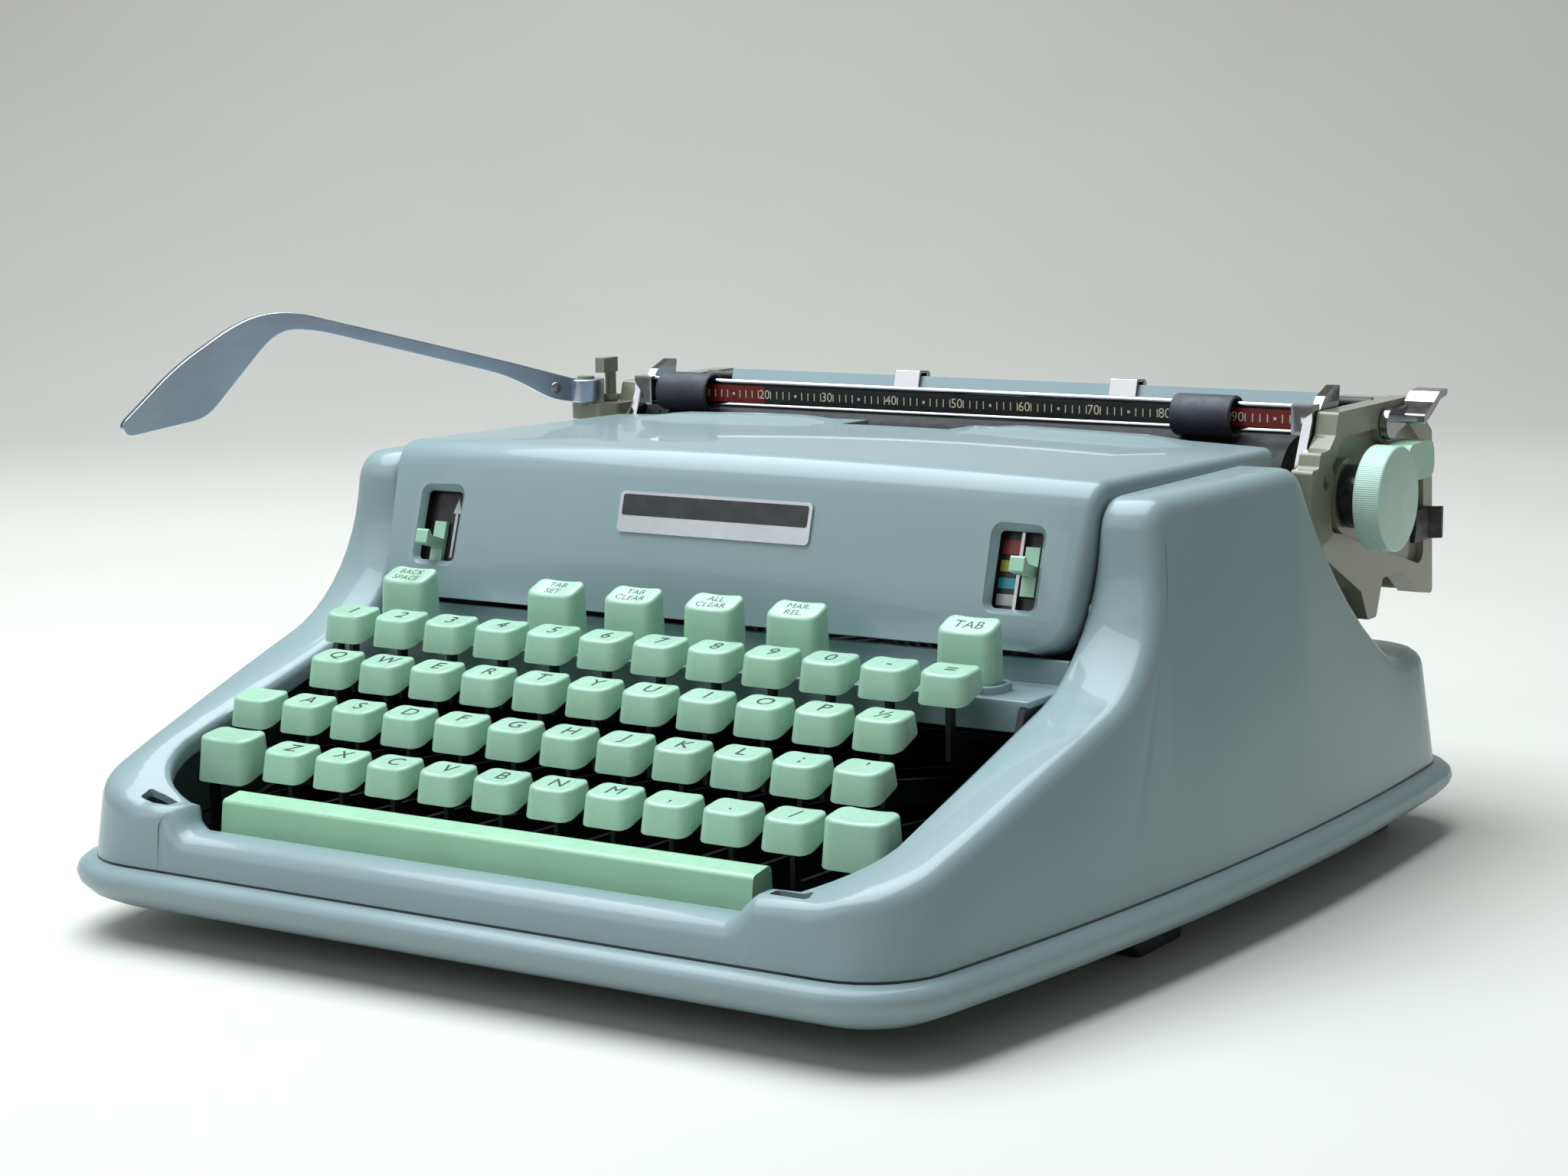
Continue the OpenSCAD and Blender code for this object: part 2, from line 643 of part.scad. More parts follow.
// Side frames of the chassis, standing on the pan's floor
frame_x = 119;
frame_t = 2;
frame_top_z = 92;
rail_y = 106;
rail_z = 72;
hinge_y = 86;
hinge_z = 122;
hinge_pin_r = 2;
ear_r = 4;
frame_profile = [[-125, pan_floor_z], [-125, 26], [-80, 38], [-66, shelf_z - wall],
    [shelf_rear_y, shelf_z - wall], [-30, frame_top_z], [66, frame_top_z],
    [hinge_y - ear_r, hinge_z], [hinge_y, hinge_z + ear_r - 0.5], [hinge_y + ear_r, hinge_z],
    [hinge_y + ear_r, rail_z], [rail_y + rail_d, rail_z], [130, 60], [138, pan_floor_z]];
frame_holes = [[20, 62, 18], [-30, 48, 14], [98, 38, 12]];
module side_frames() color(dark_col) both_sides() {
    difference() {
        along_x(frame_x, frame_t) polygon(frame_profile);
        translate([0, fulcrum_y, fulcrum_z]) bar_x(frame_x - 1, frame_t + 2, fulcrum_r);
        for (h = frame_holes)
            translate([0, h[0], h[1]]) bar_x(frame_x - 1, frame_t + 2, h[2]);
        for (b = tie_bars)
            translate([0, b[0], b[1]]) bar_x(frame_x - 1, frame_t + 2, tie_r);
    }
    translate([0, hinge_y, hinge_z]) bar_x(ear_x - 1, frame_x - ear_x + 2, hinge_pin_r);
}

// Tie bars between the frames
tie_r = 4;
tie_bars = [[30, 15.5], [76, 36], [124, 40]];
module cross_bars() color(steel_col) {
    for (b = tie_bars)
        translate([0, b[0], b[1]]) bar_x(-frame_x - frame_t, 2 * (frame_x + frame_t), tie_r);
    both_sides()
        translate([basket_post_x, basket_post_y, pan_floor_z])
            cylinder(h = basket_post_top - pan_floor_z, r = spindle_r);
    translate([drum_x, drum_y, pan_floor_z]) {
        cylinder(h = drum_z[1] + 2 - pan_floor_z, r = spindle_r);
        cylinder(h = drum_z[0] - run_gap - pan_floor_z, r = drum_seat_r);
    }
}
module key_fulcrum() color(steel_col) translate([0, fulcrum_y, fulcrum_z])
    bar_x(-frame_x - frame_t, 2 * (frame_x + frame_t), fulcrum_r);
module carriage_rail() color(steel_col) translate([-frame_x - frame_t, rail_y, rail_z])
    cube([2 * (frame_x + frame_t), rail_d, rail_h]);

// Ribbon cups stand on the frames and carry a spindle each
spool_x = 90;
spool_y = 22;
cup_wall = 1.5;
cup_r = spool_r + 2.5;
spindle_r = 3;
spool_h = 13;
module ribbon_cups() color(dark_col) both_sides() translate([0, spool_y, frame_top_z]) {
    difference() {
        translate([spool_x, 0, 0]) cylinder(h = 6, r = cup_r);
        translate([spool_x, 0, cup_wall]) cylinder(h = 6, r = cup_r - cup_wall);
    }
    translate([spool_x + cup_r - 4, -9, 0]) cube([frame_x + frame_t - spool_x - cup_r + 4, 18, cup_wall]);
    translate([spool_x, 0, 0]) cylinder(h = spool_h + cup_wall + 3, r = spindle_r);
}
module ribbon_spool(side) color(steel_col)
    translate([side * spool_x, spool_y, frame_top_z + cup_wall + run_gap])
        difference() {
            union() {
                cylinder(h = 1, r = spool_r);
                translate([0, 0, spool_h - 1]) cylinder(h = 1, r = spool_r);
                cylinder(h = spool_h, r = spool_r - (side < 0 ? 3 : 9));
            }
            translate([0, 0, -1]) cylinder(h = spool_h + 2, r = spindle_r + shaft_fit);
        }
module ribbon_spool_left() ribbon_spool(-1);
module ribbon_spool_right() ribbon_spool(1);

// Hood: front panel, rounded edge and crowned top, with rounded lower corners and turned-down sides
hood_path = concat([[-hood_y, hood_z]],
    walk([-hood_y, hood_z], panel_deg, [[panel_corner_r, 0, 5], [panel_len - panel_corner_r, 0, 4],
        [hood_r, -panel_deg - 1, 7], [top_len, 0, 8]]));
hood_side_r = 3;
hood_flange = 9;
hood_arc_first = 9;
function path_tangent(i) = unit(hood_path[min(i + 1, len(hood_path) - 1)] - hood_path[max(i - 1, 0)]);
function corner_cut(s) = s >= panel_corner_r ? 0
    : panel_corner_r - sqrt(panel_corner_r * panel_corner_r - (panel_corner_r - s) * (panel_corner_r - s));
function hood_half(i) =
    opening_x(hood_path[i][1]) - hood_gap - corner_cut(norm(hood_path[i] - hood_path[0]));
function crown_at(i, t) = crown * (1 - t * t) * smooth(i / (hood_arc_first + 3));
function hood_row(i, depth) =
    let (p = hood_path[i],
         tan_yz = path_tangent(i),
         n = [0, -tan_yz[1], tan_yz[0]],
         w = hood_half(i),
         r = hood_side_r - depth,
         base = [0, p[0], p[1]],
         edge = concat([base + [w - depth, 0, 0] - hood_flange * n],
             [for (a = [0 : 30 : 90])
                 base + [w - depth - r * (1 - cos(a)), 0, 0] - (depth + r * (1 - sin(a))) * n]),
         mid = [for (t = [0.8 : -0.2 : -0.81])
             base + [(w - hood_side_r) * t, 0, 0] + (crown_at(i, t) - depth) * n])
    concat(edge, mid, [for (k = [len(edge) - 1 : -1 : 0]) flip(edge[k])]);
module in_panel() translate([0, -hood_y, hood_z]) rotate([panel_deg, 0, 0]) children();
window_u = 22.5;
window_bevel = 1.6;
function window_loop(grow, z) =
    [for (p = rounded(window_corners(grow, grow), 1.5 + grow)) [p[0], p[1], z]];
// Raised pads along the rear edge, one each side of the type slot
pad_x = [type_slot_w / 2 + 0.5, 108];
pad_y = [64, last(hood_path)[0] - 0.4];
pad_h = 1.8;
pad_n = [12, 7];
function bump(t) = smooth(min(t, 1 - t) * 4);
function hood_top(x, y) =
    let (edge = last(hood_path), t = x / (opening_x(edge[1]) - hood_gap))
    edge[1] + (edge[0] - y) * tan(1) + crown * (1 - t * t);
function pad_rows(h) = [for (i = [0 : pad_n[0]])
    [for (j = [0 : pad_n[1]])
        let (x = pad_x[0] + (pad_x[1] - pad_x[0]) * i / pad_n[0],
             y = pad_y[0] + (pad_y[1] - pad_y[0]) * j / pad_n[1])
        [x, y, hood_top(x, y) + (h > 0 ? h * bump(i / pad_n[0]) * bump(j / pad_n[1]) - 0.2 : h)]]];
module hood() color(body_col) difference() {
    union() {
        sheet([for (i = [0 : len(hood_path) - 1]) hood_row(i, 0)],
            [for (i = [0 : len(hood_path) - 1]) hood_row(i, wall)]);
        both_sides() mirror([1, 0, 0]) sheet(pad_rows(pad_h), pad_rows(-wall / 2));
    }
    in_panel() for (s = [-1, 1])
        translate([s * window_x, window_u, 0])
            stack([window_loop(0, -2 * wall), window_loop(0, -wall * 0.7),
                window_loop(window_bevel, 0), window_loop(2 * window_bevel, wall)]);
    translate([-type_slot_w / 2, last(hood_path)[0] - type_slot_d, 100]) cube([type_slot_w, 60, 60]);
}
function window_corners(grow_w, grow_h) =
    let (w = window_w / 2 + grow_w, h = window_h / 2 + grow_h)
    [[-w, -h], [w, -h], [w, h], [-w, h]];

// Hinge of the hood: two ears under its rear edge on one pin
ear_x = 112;
ear_t = 3;
hood_under_z = last(hood_path)[1] - wall;
module hood_hinge() color(steel_col) both_sides() {
    difference() {
        union() {
            along_x(ear_x, ear_t) polygon([[hinge_y - 14, hood_under_z], [hinge_y + 1, hood_under_z],
                [hinge_y + ear_r, hinge_z], [hinge_y - ear_r, hinge_z]]);
            translate([0, hinge_y, hinge_z]) bar_x(ear_x, ear_t, ear_r);
        }
        translate([0, hinge_y, hinge_z]) bar_x(ear_x - 1, ear_t + 2, hinge_pin_r + shaft_fit);
    }
}

// Shallow trays behind the two windows, and the levers that slide in them
tray_grow = [1.2, 5.5];
tray_t = 1.2;
tray_depth = 2.4;
module window_tray() translate([0, 0, -wall - tray_depth - tray_t]) difference() {
    linear_extrude(tray_t + tray_depth)
        polygon(window_corners(tray_grow[0] + tray_t, tray_grow[1] + tray_t));
    translate([0, 0, tray_t]) linear_extrude(2 * tray_depth)
        polygon(window_corners(tray_grow[0], tray_grow[1]));
}
module window_plates() color(dark_col) in_panel() for (s = [-1, 1])
    translate([s * window_x, window_u, 0]) window_tray();
strip_w = 4.5;
strip_len = 14;
strip_t = tray_depth - 2 * run_gap;
tab_h = 3;
tab_out = 8;
tab_lip = 2.5;
// Strip with a finger tab bent outwards; x and u give its place in the window
module window_lever(side, x, u) color(key_col) in_panel()
    translate([side * window_x + x, window_u + u, -wall - run_gap - strip_t]) {
        translate([-strip_w / 2, -strip_len / 2, 0]) cube([strip_w, strip_len, strip_t]);
        translate([strip_w / 2, 0, 0]) rotate([0, -90, 0]) linear_extrude(strip_w)
            polygon(rounded([[0, -tab_h / 2], [wall + tab_out, -tab_h / 2],
                [wall + tab_out, tab_h / 2 + tab_lip], [wall + tab_out - tab_lip, tab_h / 2],
                [0, tab_h / 2]], 0.6));
    }
module touch_lever() window_lever(-1, -1.2, -5.5);
module colour_lever() window_lever(1, 3.4, 0);

// Carriage: bed that straddles the rail, toothed rack, end plates, paper table and rear cover
bed_t = 4.5;
bed_y = [100.5, 128];
bed_z = rail_z + rail_h + run_gap;
bed_skirt = 5.5;
module carriage_bed() color(plate_col) {
    translate([-plate_x, bed_y[0], bed_z]) cube([2 * plate_x, bed_y[1] - bed_y[0], bed_t]);
    translate([-plate_x, bed_y[0], bed_z - bed_skirt])
        cube([2 * plate_x, rail_y - run_gap - bed_y[0], bed_skirt + 1]);
    translate([-plate_x, rail_y + rail_d + run_gap, bed_z - bed_skirt])
        cube([2 * plate_x, 3.6, bed_skirt + 1]);
}
rack_pitch = 5.08;
rack_y = 122.5;
rack_t = 4;
rack_half = 110;
module carriage_rack() color(steel_col) translate([0, rack_y + rack_t, bed_z]) rotate([90, 0, 0])
    linear_extrude(rack_t) polygon(concat([[-rack_half, 0]],
        [for (k = [0 : floor(2 * rack_half / rack_pitch) - 1])
            let (x = k * rack_pitch - rack_half)
            each [[x, -3], [x + 0.35 * rack_pitch, -6], [x + 0.65 * rack_pitch, -6]]],
        [[rack_half, -3], [rack_half, 0]]));

plate_x = platen_len / 2 + platen_gap;
plate_out_x = plate_x + plate_t;
plate_top_z = 138;
plate_front = [[98, 95], [90.5, 107], [90.5, 121.8], [95.7, 121.8], [97, 126.5], [104, 127], [108.5, 131],
    [110.5, plate_top_z]];
plate_rear = [[171, plate_top_z], [190, 125], [193, 70]];
plate_legs = [[180, 72], [166, 81], [149, 81], [144, 69], [137, 69], [131, 79]];
plate_outline = concat(plate_front, plate_rear, plate_legs);
plate_core = concat([plate_front[0], [plate_front[0][0], 124], plate_front[7]], plate_rear);
pivot_y = 102;
pivot_z = 117;
release_y = 152;
release_z = 104;
paper_rel_y = 148;
paper_rel_z = 131;
small_pin_r = 2.5;
plate_border = 8;
plate_corner_r = 1.5;
pocket_d = 2.5;
shaft_boss_r = 12;
pin_boss_r = 2 * small_pin_r + 1;
small_pivots = [[pivot_y, pivot_z], [release_y, release_z], [paper_rel_y, paper_rel_z]];
// Casting with a raised border along its front and top, and a boss round each pivot
module end_plate() difference() {
    union() {
        difference() {
            along_x(plate_x, plate_t) polygon(rounded(plate_outline, plate_corner_r));
            along_x(plate_x + plate_t - pocket_d, pocket_d + 1)
                polygon(rounded(inset(plate_core, plate_border), 4));
        }
        translate([0, platen_y, platen_z]) bar_x(plate_x, plate_t, shaft_boss_r);
        for (p = small_pivots)
            intersection() {
                translate([0, p[0], p[1]]) bar_x(plate_x, plate_t, pin_boss_r);
                along_x(plate_x, plate_t) polygon(rounded(plate_outline, plate_corner_r));
            }
    }
    translate([0, platen_y, platen_z]) bar_x(plate_x - 1, plate_t + 2, shaft_r + shaft_fit);
    for (p = small_pivots)
        translate([0, p[0], p[1]]) bar_x(plate_x - 1, plate_t + 2, small_pin_r + shaft_fit);
}
return_pivot = [-plate_out_x - 7, 98];
return_pin_r = 3;
bracket_z = [125.2, 131];
bracket_outline = [for (p = [[-13, 96], [0, 96], [6, 100], [6, 114], [-1, 114], [-7.5, 110], [-13, 103]])
    [p[0] - plate_out_x, p[1]]];
selector_at = [-plate_out_x - 3.5, 108];
module end_plate_left() color(plate_col) {
    difference() {
        union() {
            mirror([1, 0, 0]) end_plate();
            translate([0, 0, bracket_z[0]]) linear_extrude(bracket_z[1] - bracket_z[0])
                polygon(rounded(bracket_outline, 2.5));
        }
        translate([selector_at[0], selector_at[1], bracket_z[0] + selector_seat])
            cylinder(h = 20, r = small_pin_r + shaft_fit);
    }
    translate([return_pivot[0], return_pivot[1], bracket_z[1] - 1])
        cylinder(h = arm_h + run_gap + 2, r = return_pin_r);
}
module end_plate_right() color(plate_col) end_plate();

// Return lever: one upright plate, a broad root, a slim arm that rises to a bend and a finger piece
arm_h = 8;
arm_slim = 5;
lever_plate_t = 3;
return_hub_r = 6.5;
return_z = bracket_z[1] + run_gap;
root_u = 32;
root_rise = 16;
bend_u = 114;
bend_z = 169;
finger_w = 20;
lever_outline = [
    [4, return_z], [14, return_z + 1.5],
    [root_u, return_z + root_rise - arm_slim], [bend_u - 9, bend_z - arm_slim - 2],
    [bend_u + 4, bend_z - arm_slim - 1.5], [return_len - 1.5 * finger_w, return_z + 3.5],
    [return_len - 2, return_z - 1], [return_len, return_z + 3],
    [return_len - finger_w, return_z + finger_w + 1], [bend_u + 16, bend_z - 2],
    [bend_u, bend_z], [root_u, return_z + root_rise], [4, return_z + arm_h]];
module return_lever() color(steel_col)
    translate([return_pivot[0], return_pivot[1], 0]) rotate([0, 0, -90 - return_deg]) difference() {
        union() {
            translate([0, lever_plate_t / 2, 0]) rotate([90, 0, 0]) linear_extrude(lever_plate_t)
                polygon(rounded(lever_outline, 1.8));
            translate([0, 0, return_z]) cylinder(h = arm_h, r = return_hub_r);
        }
        translate([0, 0, return_z - 1]) cylinder(h = arm_h + 2, r = return_pin_r + shaft_fit);
    }

// Lever with a pin of its own in the end plate; side +1 is the right plate
release_t = 2.5;
release_tab_w = 10;
module plate_lever(side, y, z, outline, tab) mirror([side < 0 ? 1 : 0, 0, 0]) translate([0, y, z]) {
    x = plate_x + plate_t + run_gap;
    bar_x(plate_x + run_gap, plate_t + 1, small_pin_r);
    bar_x(x, release_t, 2 * small_pin_r);
    along_x(x, release_t) polygon(outline);
    along_x(x, release_tab_w) polygon(tab);
}
release_outline = [[-4, 0], [4, 0], [9, 12], [-4, 12]];
release_tab = [[-10, 9], [14, 9], [13, 21], [-8, 21]];
module carriage_release(side) color(key_col)
    plate_lever(side, release_y, release_z, release_outline, rounded(release_tab, 4));
module carriage_release_left() carriage_release(-1);
module carriage_release_right() carriage_release(1);
paper_rel_outline = [[0, -4], [12, -1], [14, 5], [0, 4]];
paper_rel_tab = [[8, -1], [17, 3.5], [22, 6.5], [28, 7.5], [28, 9.5], [21, 9], [16, 6], [8, 2.5]];
module paper_release() color(steel_col)
    plate_lever(1, paper_rel_y, paper_rel_z, paper_rel_outline, rounded(paper_rel_tab, 0.8));
selector_seat = 1;
selector_post_r = 2;
selector_tab = [3.8, 8.4, 5.2];
selector_tab_z = 141.3;
module line_selector() color(plate_col) translate([selector_at[0], selector_at[1], 0]) {
    translate([0, 0, bracket_z[0] + selector_seat + run_gap])
        cylinder(h = bracket_z[1] - bracket_z[0], r = small_pin_r);
    translate([0, 0, bracket_z[1] + run_gap]) {
        cylinder(h = 2, r = 3.5);
        cylinder(h = selector_tab_z - bracket_z[1], r = selector_post_r);
    }
    translate([-selector_tab[0] / 2, selector_post_r - selector_tab[1], selector_tab_z]) cube(selector_tab);
}

// Paper table behind the platen and the rear cover of the carriage
table_t = 1.5;
table_gap = 2.5;
table_half = 115;
table_deg = 17.5;
table_top_z = 140;
pan_r = platen_r + table_gap;
table_foot = [platen_y, platen_z] + pan_r * [cos(table_deg), -sin(table_deg)];
table_len = (table_top_z - table_foot[1]) / cos(table_deg);
module paper_table() color(body_col) {
    along_x(-plate_x, 2 * plate_x) intersection() {
        translate([platen_y, platen_z]) difference() {
            circle(r = pan_r + table_t);
            circle(r = pan_r);
        }
        polygon([[platen_y, platen_z], [platen_y, platen_z - 60], [platen_y + 60, platen_z - 60],
            [platen_y + 60 * cos(table_deg), platen_z - 60 * sin(table_deg)]]);
    }
    along_x(-table_half, 2 * table_half)
        translate(table_foot) rotate(-table_deg) square([table_t, table_len]);
}
rod_y = 155;
rod_z = 136.5;
rod_r = 2;
module guide_rod() color(dark_col) translate([0, rod_y, rod_z]) bar_x(-plate_x, 2 * plate_x, rod_r);
cover_t = 1.5;
cover_in = 0.5;
cover_front_y = rod_y + rod_r + 5;
module rear_cover() color(plate_col) {
    out = inset(plate_core, cover_in);
    inn = inset(plate_core, cover_in + cover_t);
    along_x(-plate_x, 2 * plate_x)
        polygon([[cover_front_y, out[3][1]], out[3], out[4], out[5], inn[5], inn[4], inn[3],
            [cover_front_y, inn[3][1]]]);
}
// Paper guides: sprung strips that hook over the table's top edge and slide on the rod
guide_w = 10;
guide_x = [-41, 43];
guide_t = 0.8;
guide_leg = 9;
guide_ring = 1.2;
table_dir = [sin(table_deg), cos(table_deg)];
table_front = [-cos(table_deg), sin(table_deg)];
table_edge = table_foot + table_len * table_dir;
guide_over_z = table_edge[1] + run_gap + 0.3;
module paper_guide(i) color(steel_col) along_x(guide_x[i] - guide_w / 2, guide_w) difference() {
    union() {
        polygon([table_edge + run_gap * table_front - guide_leg * table_dir,
            table_edge + run_gap * table_front + [0, run_gap + 0.3],
            [rod_y - guide_ring, guide_over_z], [rod_y - guide_ring, rod_z],
            [rod_y + guide_ring, rod_z], [rod_y + guide_ring, guide_over_z],
            [rod_y, guide_over_z + guide_t],
            table_edge + (run_gap + guide_t) * table_front + [0, run_gap + 0.3 + guide_t],
            table_edge + (run_gap + guide_t) * table_front - guide_leg * table_dir]);
        translate([rod_y, rod_z]) circle(r = rod_r + guide_ring);
    }
    translate([rod_y, rod_z]) circle(r = rod_r + shaft_fit);
}
module paper_guide_left() paper_guide(0);
module paper_guide_right() paper_guide(1);

// Platen: rubber roller on a shaft with a ratchet wheel, and a knob at each end
ratchet_t = 2;
ratchet_n = 30;
knob_edge_r = 0.8;
knob_seat = 3;
collar_r = 10;
module platen_roller() color(rubber_col) translate([0, platen_y, platen_z]) difference() {
    bar_x(-platen_len / 2, platen_len, platen_r);
    bar_x(-platen_len, 2 * platen_len, shaft_r);
}
module platen_shaft() color(steel_col) translate([0, platen_y, platen_z]) {
    reach = plate_x + plate_t + collar_t + knob_t - knob_seat;
    bar_x(-reach, 2 * reach, shaft_r);
    both_sides() bar_x(plate_x + plate_t + run_gap, collar_t - run_gap, collar_r);
    rotate([90, 0, 90]) translate([0, 0, -platen_len / 2 - run_gap - ratchet_t]) linear_extrude(ratchet_t)
        polygon([for (k = [0 : 2 * ratchet_n - 1])
            let (a = 180 * k / ratchet_n, r = k % 2 == 0 ? platen_r - 1 : platen_r - 3)
            r * [cos(a), sin(a)]]);
}
module platen_knob() translate([plate_x + plate_t, platen_y, platen_z]) difference() {
    rotate([0, 90, 0]) rotate_extrude() intersection() {
        translate([0, collar_t]) square([knob_r, knob_t]);
        polygon(rounded([[-knob_r, collar_t], [knob_r, collar_t], [knob_r, collar_t + knob_t],
            [-knob_r, collar_t + knob_t]], knob_edge_r));
    }
    bar_x(0, collar_t + knob_t - knob_seat, shaft_r + shaft_fit);
}
module platen_knob_left() color(key_col) mirror([1, 0, 0]) platen_knob();
module platen_knob_right() color(key_col) platen_knob();

// Paper bail: flat scale between two rods, end blocks on arms that turn on the end plates
bail_y = platen_y - bail_dy;
bail_reach = platen_r + roller_r + run_gap;
bail_z = platen_z + sqrt(bail_reach * bail_reach - bail_dy * bail_dy);
bail_arm_t = 3;
bail_side_gap = 0.5;
bail_half = plate_x - bail_side_gap - bail_arm_t;
bail_block = 4;
// Outline of the finger tab behind each end of the bail
lift_tab = [[1, 1], [18, 3.3], [19, 9.6], [15, 9.8], [7, 6.8]];
bail_rod_r = 1;
scale_t = 1.2;
module bail_scale() color(dark_col)
    translate([bail_block - bail_half, bail_y - scale_t / 2, bail_z - scale_h / 2])
        cube([2 * (bail_half - bail_block), scale_t, scale_h]);
module bail_frame() color(steel_col) {
    for (s = [-1, 1])
        translate([0, bail_y, bail_z + s * (scale_h / 2 + bail_rod_r)])
            bar_x(-bail_half, 2 * bail_half, bail_rod_r);
    both_sides() {
        translate([bail_half - bail_block, bail_y - bail_arm_t, bail_z - scale_h / 2 - 2 * bail_rod_r])
            cube([bail_block + bail_arm_t, 2 * bail_arm_t, scale_h + 4 * bail_rod_r]);
        along_x(bail_half, bail_arm_t) {
            polygon([[bail_y - bail_arm_t, bail_z], [bail_y + bail_arm_t, bail_z],
                [pivot_y + bail_arm_t, pivot_z], [pivot_y - bail_arm_t, pivot_z]]);
            translate([bail_y, bail_z]) polygon(rounded(lift_tab, 0.8));
        }
        translate([0, pivot_y, pivot_z]) {
            bar_x(bail_half, bail_arm_t, 4);
            bar_x(bail_half + 1, plate_x + plate_t - bail_half - 2, small_pin_r);
        }
    }
}
roller_x = [18.5 - bail_half, bail_half - 34];
module bail_roller(i) color(rubber_col)
    translate([roller_x[i] - roller_len / 2, bail_y, bail_z]) difference() {
    bar_x(0, roller_len, roller_r);
    bar_x(-1, roller_len + 2, norm([scale_t / 2, scale_h / 2 + 2 * bail_rod_r]) + run_gap);
}
module bail_roller_left() bail_roller(0);
module bail_roller_right() bail_roller(1);

// Type segment: slotted half ring with the fan of typebars lying forward of it
segment_y = [82, 91];
segment_w = 12;
bar_t = 1.2;
bar_h = 4;
slot_gap = 0.3;
function bar_angle(i) = fan_deg * (2 * i / (typebars_n - 1) - 1);
module at_bar(i) translate([0, 0, platen_z]) rotate([0, -bar_angle(i), 0]) children();
module slotted_ring() difference() {
    translate([0, segment_y[1], platen_z]) rotate([90, 0, 0]) rotate([0, 0, 270 - fan_deg - 6])
        rotate_extrude(angle = 2 * fan_deg + 12, $fn = 96)
            translate([segment_r - segment_w / 2, 0]) square([segment_w, segment_y[1] - segment_y[0]]);
    for (i = [0 : typebars_n - 1])
        at_bar(i) translate([-bar_t / 2 - slot_gap, segment_y[0] - 1, -segment_r - 3])
            cube([bar_t + 2 * slot_gap, segment_y[1] - segment_y[0] + 2, segment_w]);
}
basket_post_x = 38;
basket_post_y = (segment_y[0] + segment_y[1]) / 2;
ring_out_r = segment_r + segment_w / 2;
post_in_x = basket_post_x - spindle_r;
ring_drop = sqrt(ring_out_r * ring_out_r - post_in_x * post_in_x);
basket_post_top = platen_z - ring_drop - shift_drop - run_gap;
basket_base_z = [platen_z - ring_out_r - 7, platen_z - ring_out_r + 0.5];
type_guide = [28, 2.6, 44];
module type_segment() color(steel_col) {
    slotted_ring();
    translate([0, 0, basket_base_z[0]]) difference() {
        translate([-basket_post_x - 7, segment_y[0], 0])
            cube([2 * basket_post_x + 14, segment_y[1] - segment_y[0],
                basket_base_z[1] - basket_base_z[0]]);
        both_sides() translate([basket_post_x, basket_post_y, -1])
            cylinder(h = 20, r = spindle_r + shaft_fit);
    }
    translate([-type_guide[0] / 2, segment_y[1], basket_base_z[0]]) cube(type_guide);
}
bar_tip_y = 30;
module typebars() color(steel_col)
    for (i = [0 : typebars_n - 1])
        at_bar(i) translate([0, 0, -segment_r]) along_x(-bar_t / 2, bar_t)
            polygon([[segment_y[1] - 3, -2], [segment_y[1] - 3, bar_h - 1], [bar_tip_y + 6, bar_h + 5],
                [bar_tip_y, bar_h + 7], [bar_tip_y, bar_h - 3], [bar_tip_y + 6, 2]]);
vibrator_z = [74, 114];
vibrator_w = 22;
vibrator_t = 1.2;
vibrator_slot = [14, 8];
module ribbon_vibrator() color(steel_col)
    translate([0, segment_y[1] + type_guide[1] + run_gap, 0]) difference() {
        translate([-vibrator_w / 2, 0, vibrator_z[0]])
            cube([vibrator_w, vibrator_t, vibrator_z[1] - vibrator_z[0]]);
        translate([-vibrator_slot[0] / 2, -1, vibrator_z[1] - 1.5 * vibrator_slot[1]])
            cube([vibrator_slot[0], vibrator_t + 2, vibrator_slot[1]]);
    }

// Mainspring drum on its post, below the rear deck
drum_x = -84;
drum_y = 108;
drum_r = 18;
drum_seat_r = 8;
drum_z = [16, 30];
module spring_drum() color(steel_col) translate([drum_x, drum_y, drum_z[0]]) difference() {
    cylinder(h = drum_z[1] - drum_z[0], r = drum_r);
    translate([0, 0, -1]) cylinder(h = 40, r = spindle_r + shaft_fit);
}

base_pan();
feet();
body_shell();
key_shelf();
side_frames();
cross_bars();
key_fulcrum();
carriage_rail();
ribbon_cups();
hood();
hood_hinge();
window_plates();
touch_lever();
colour_lever();
carriage_bed();
carriage_rack();
end_plate_left();
end_plate_right();
paper_table();
rear_cover();
guide_rod();
platen_roller();
platen_shaft();
platen_knob_left();
platen_knob_right();
bail_scale();
bail_frame();
bail_roller_left();
bail_roller_right();
return_lever();
carriage_release_left();
carriage_release_right();
paper_release();
line_selector();
paper_guide_left();
paper_guide_right();
number_row_caps();
upper_row_caps();
home_row_caps();
lower_row_caps();
number_row_levers();
upper_row_levers();
home_row_levers();
lower_row_levers();
shift_left();
shift_right();
shift_lock();
space_bar();
back_key();
tab_set_key();
tab_clear_key();
all_clear_key();
margin_release_key();
tabulator_key();
ribbon_spool_left();
ribbon_spool_right();
type_segment();
typebars();
ribbon_vibrator();
spring_drum();
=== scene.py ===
"""Looks of a portable typewriter: paint, plastics and metals, rounded keys, legends, scale and small trim.

Lengths are in millimetres and angles in degrees, except where a comment says otherwise.
"""

import math

import bpy
from mathutils import Matrix, Vector


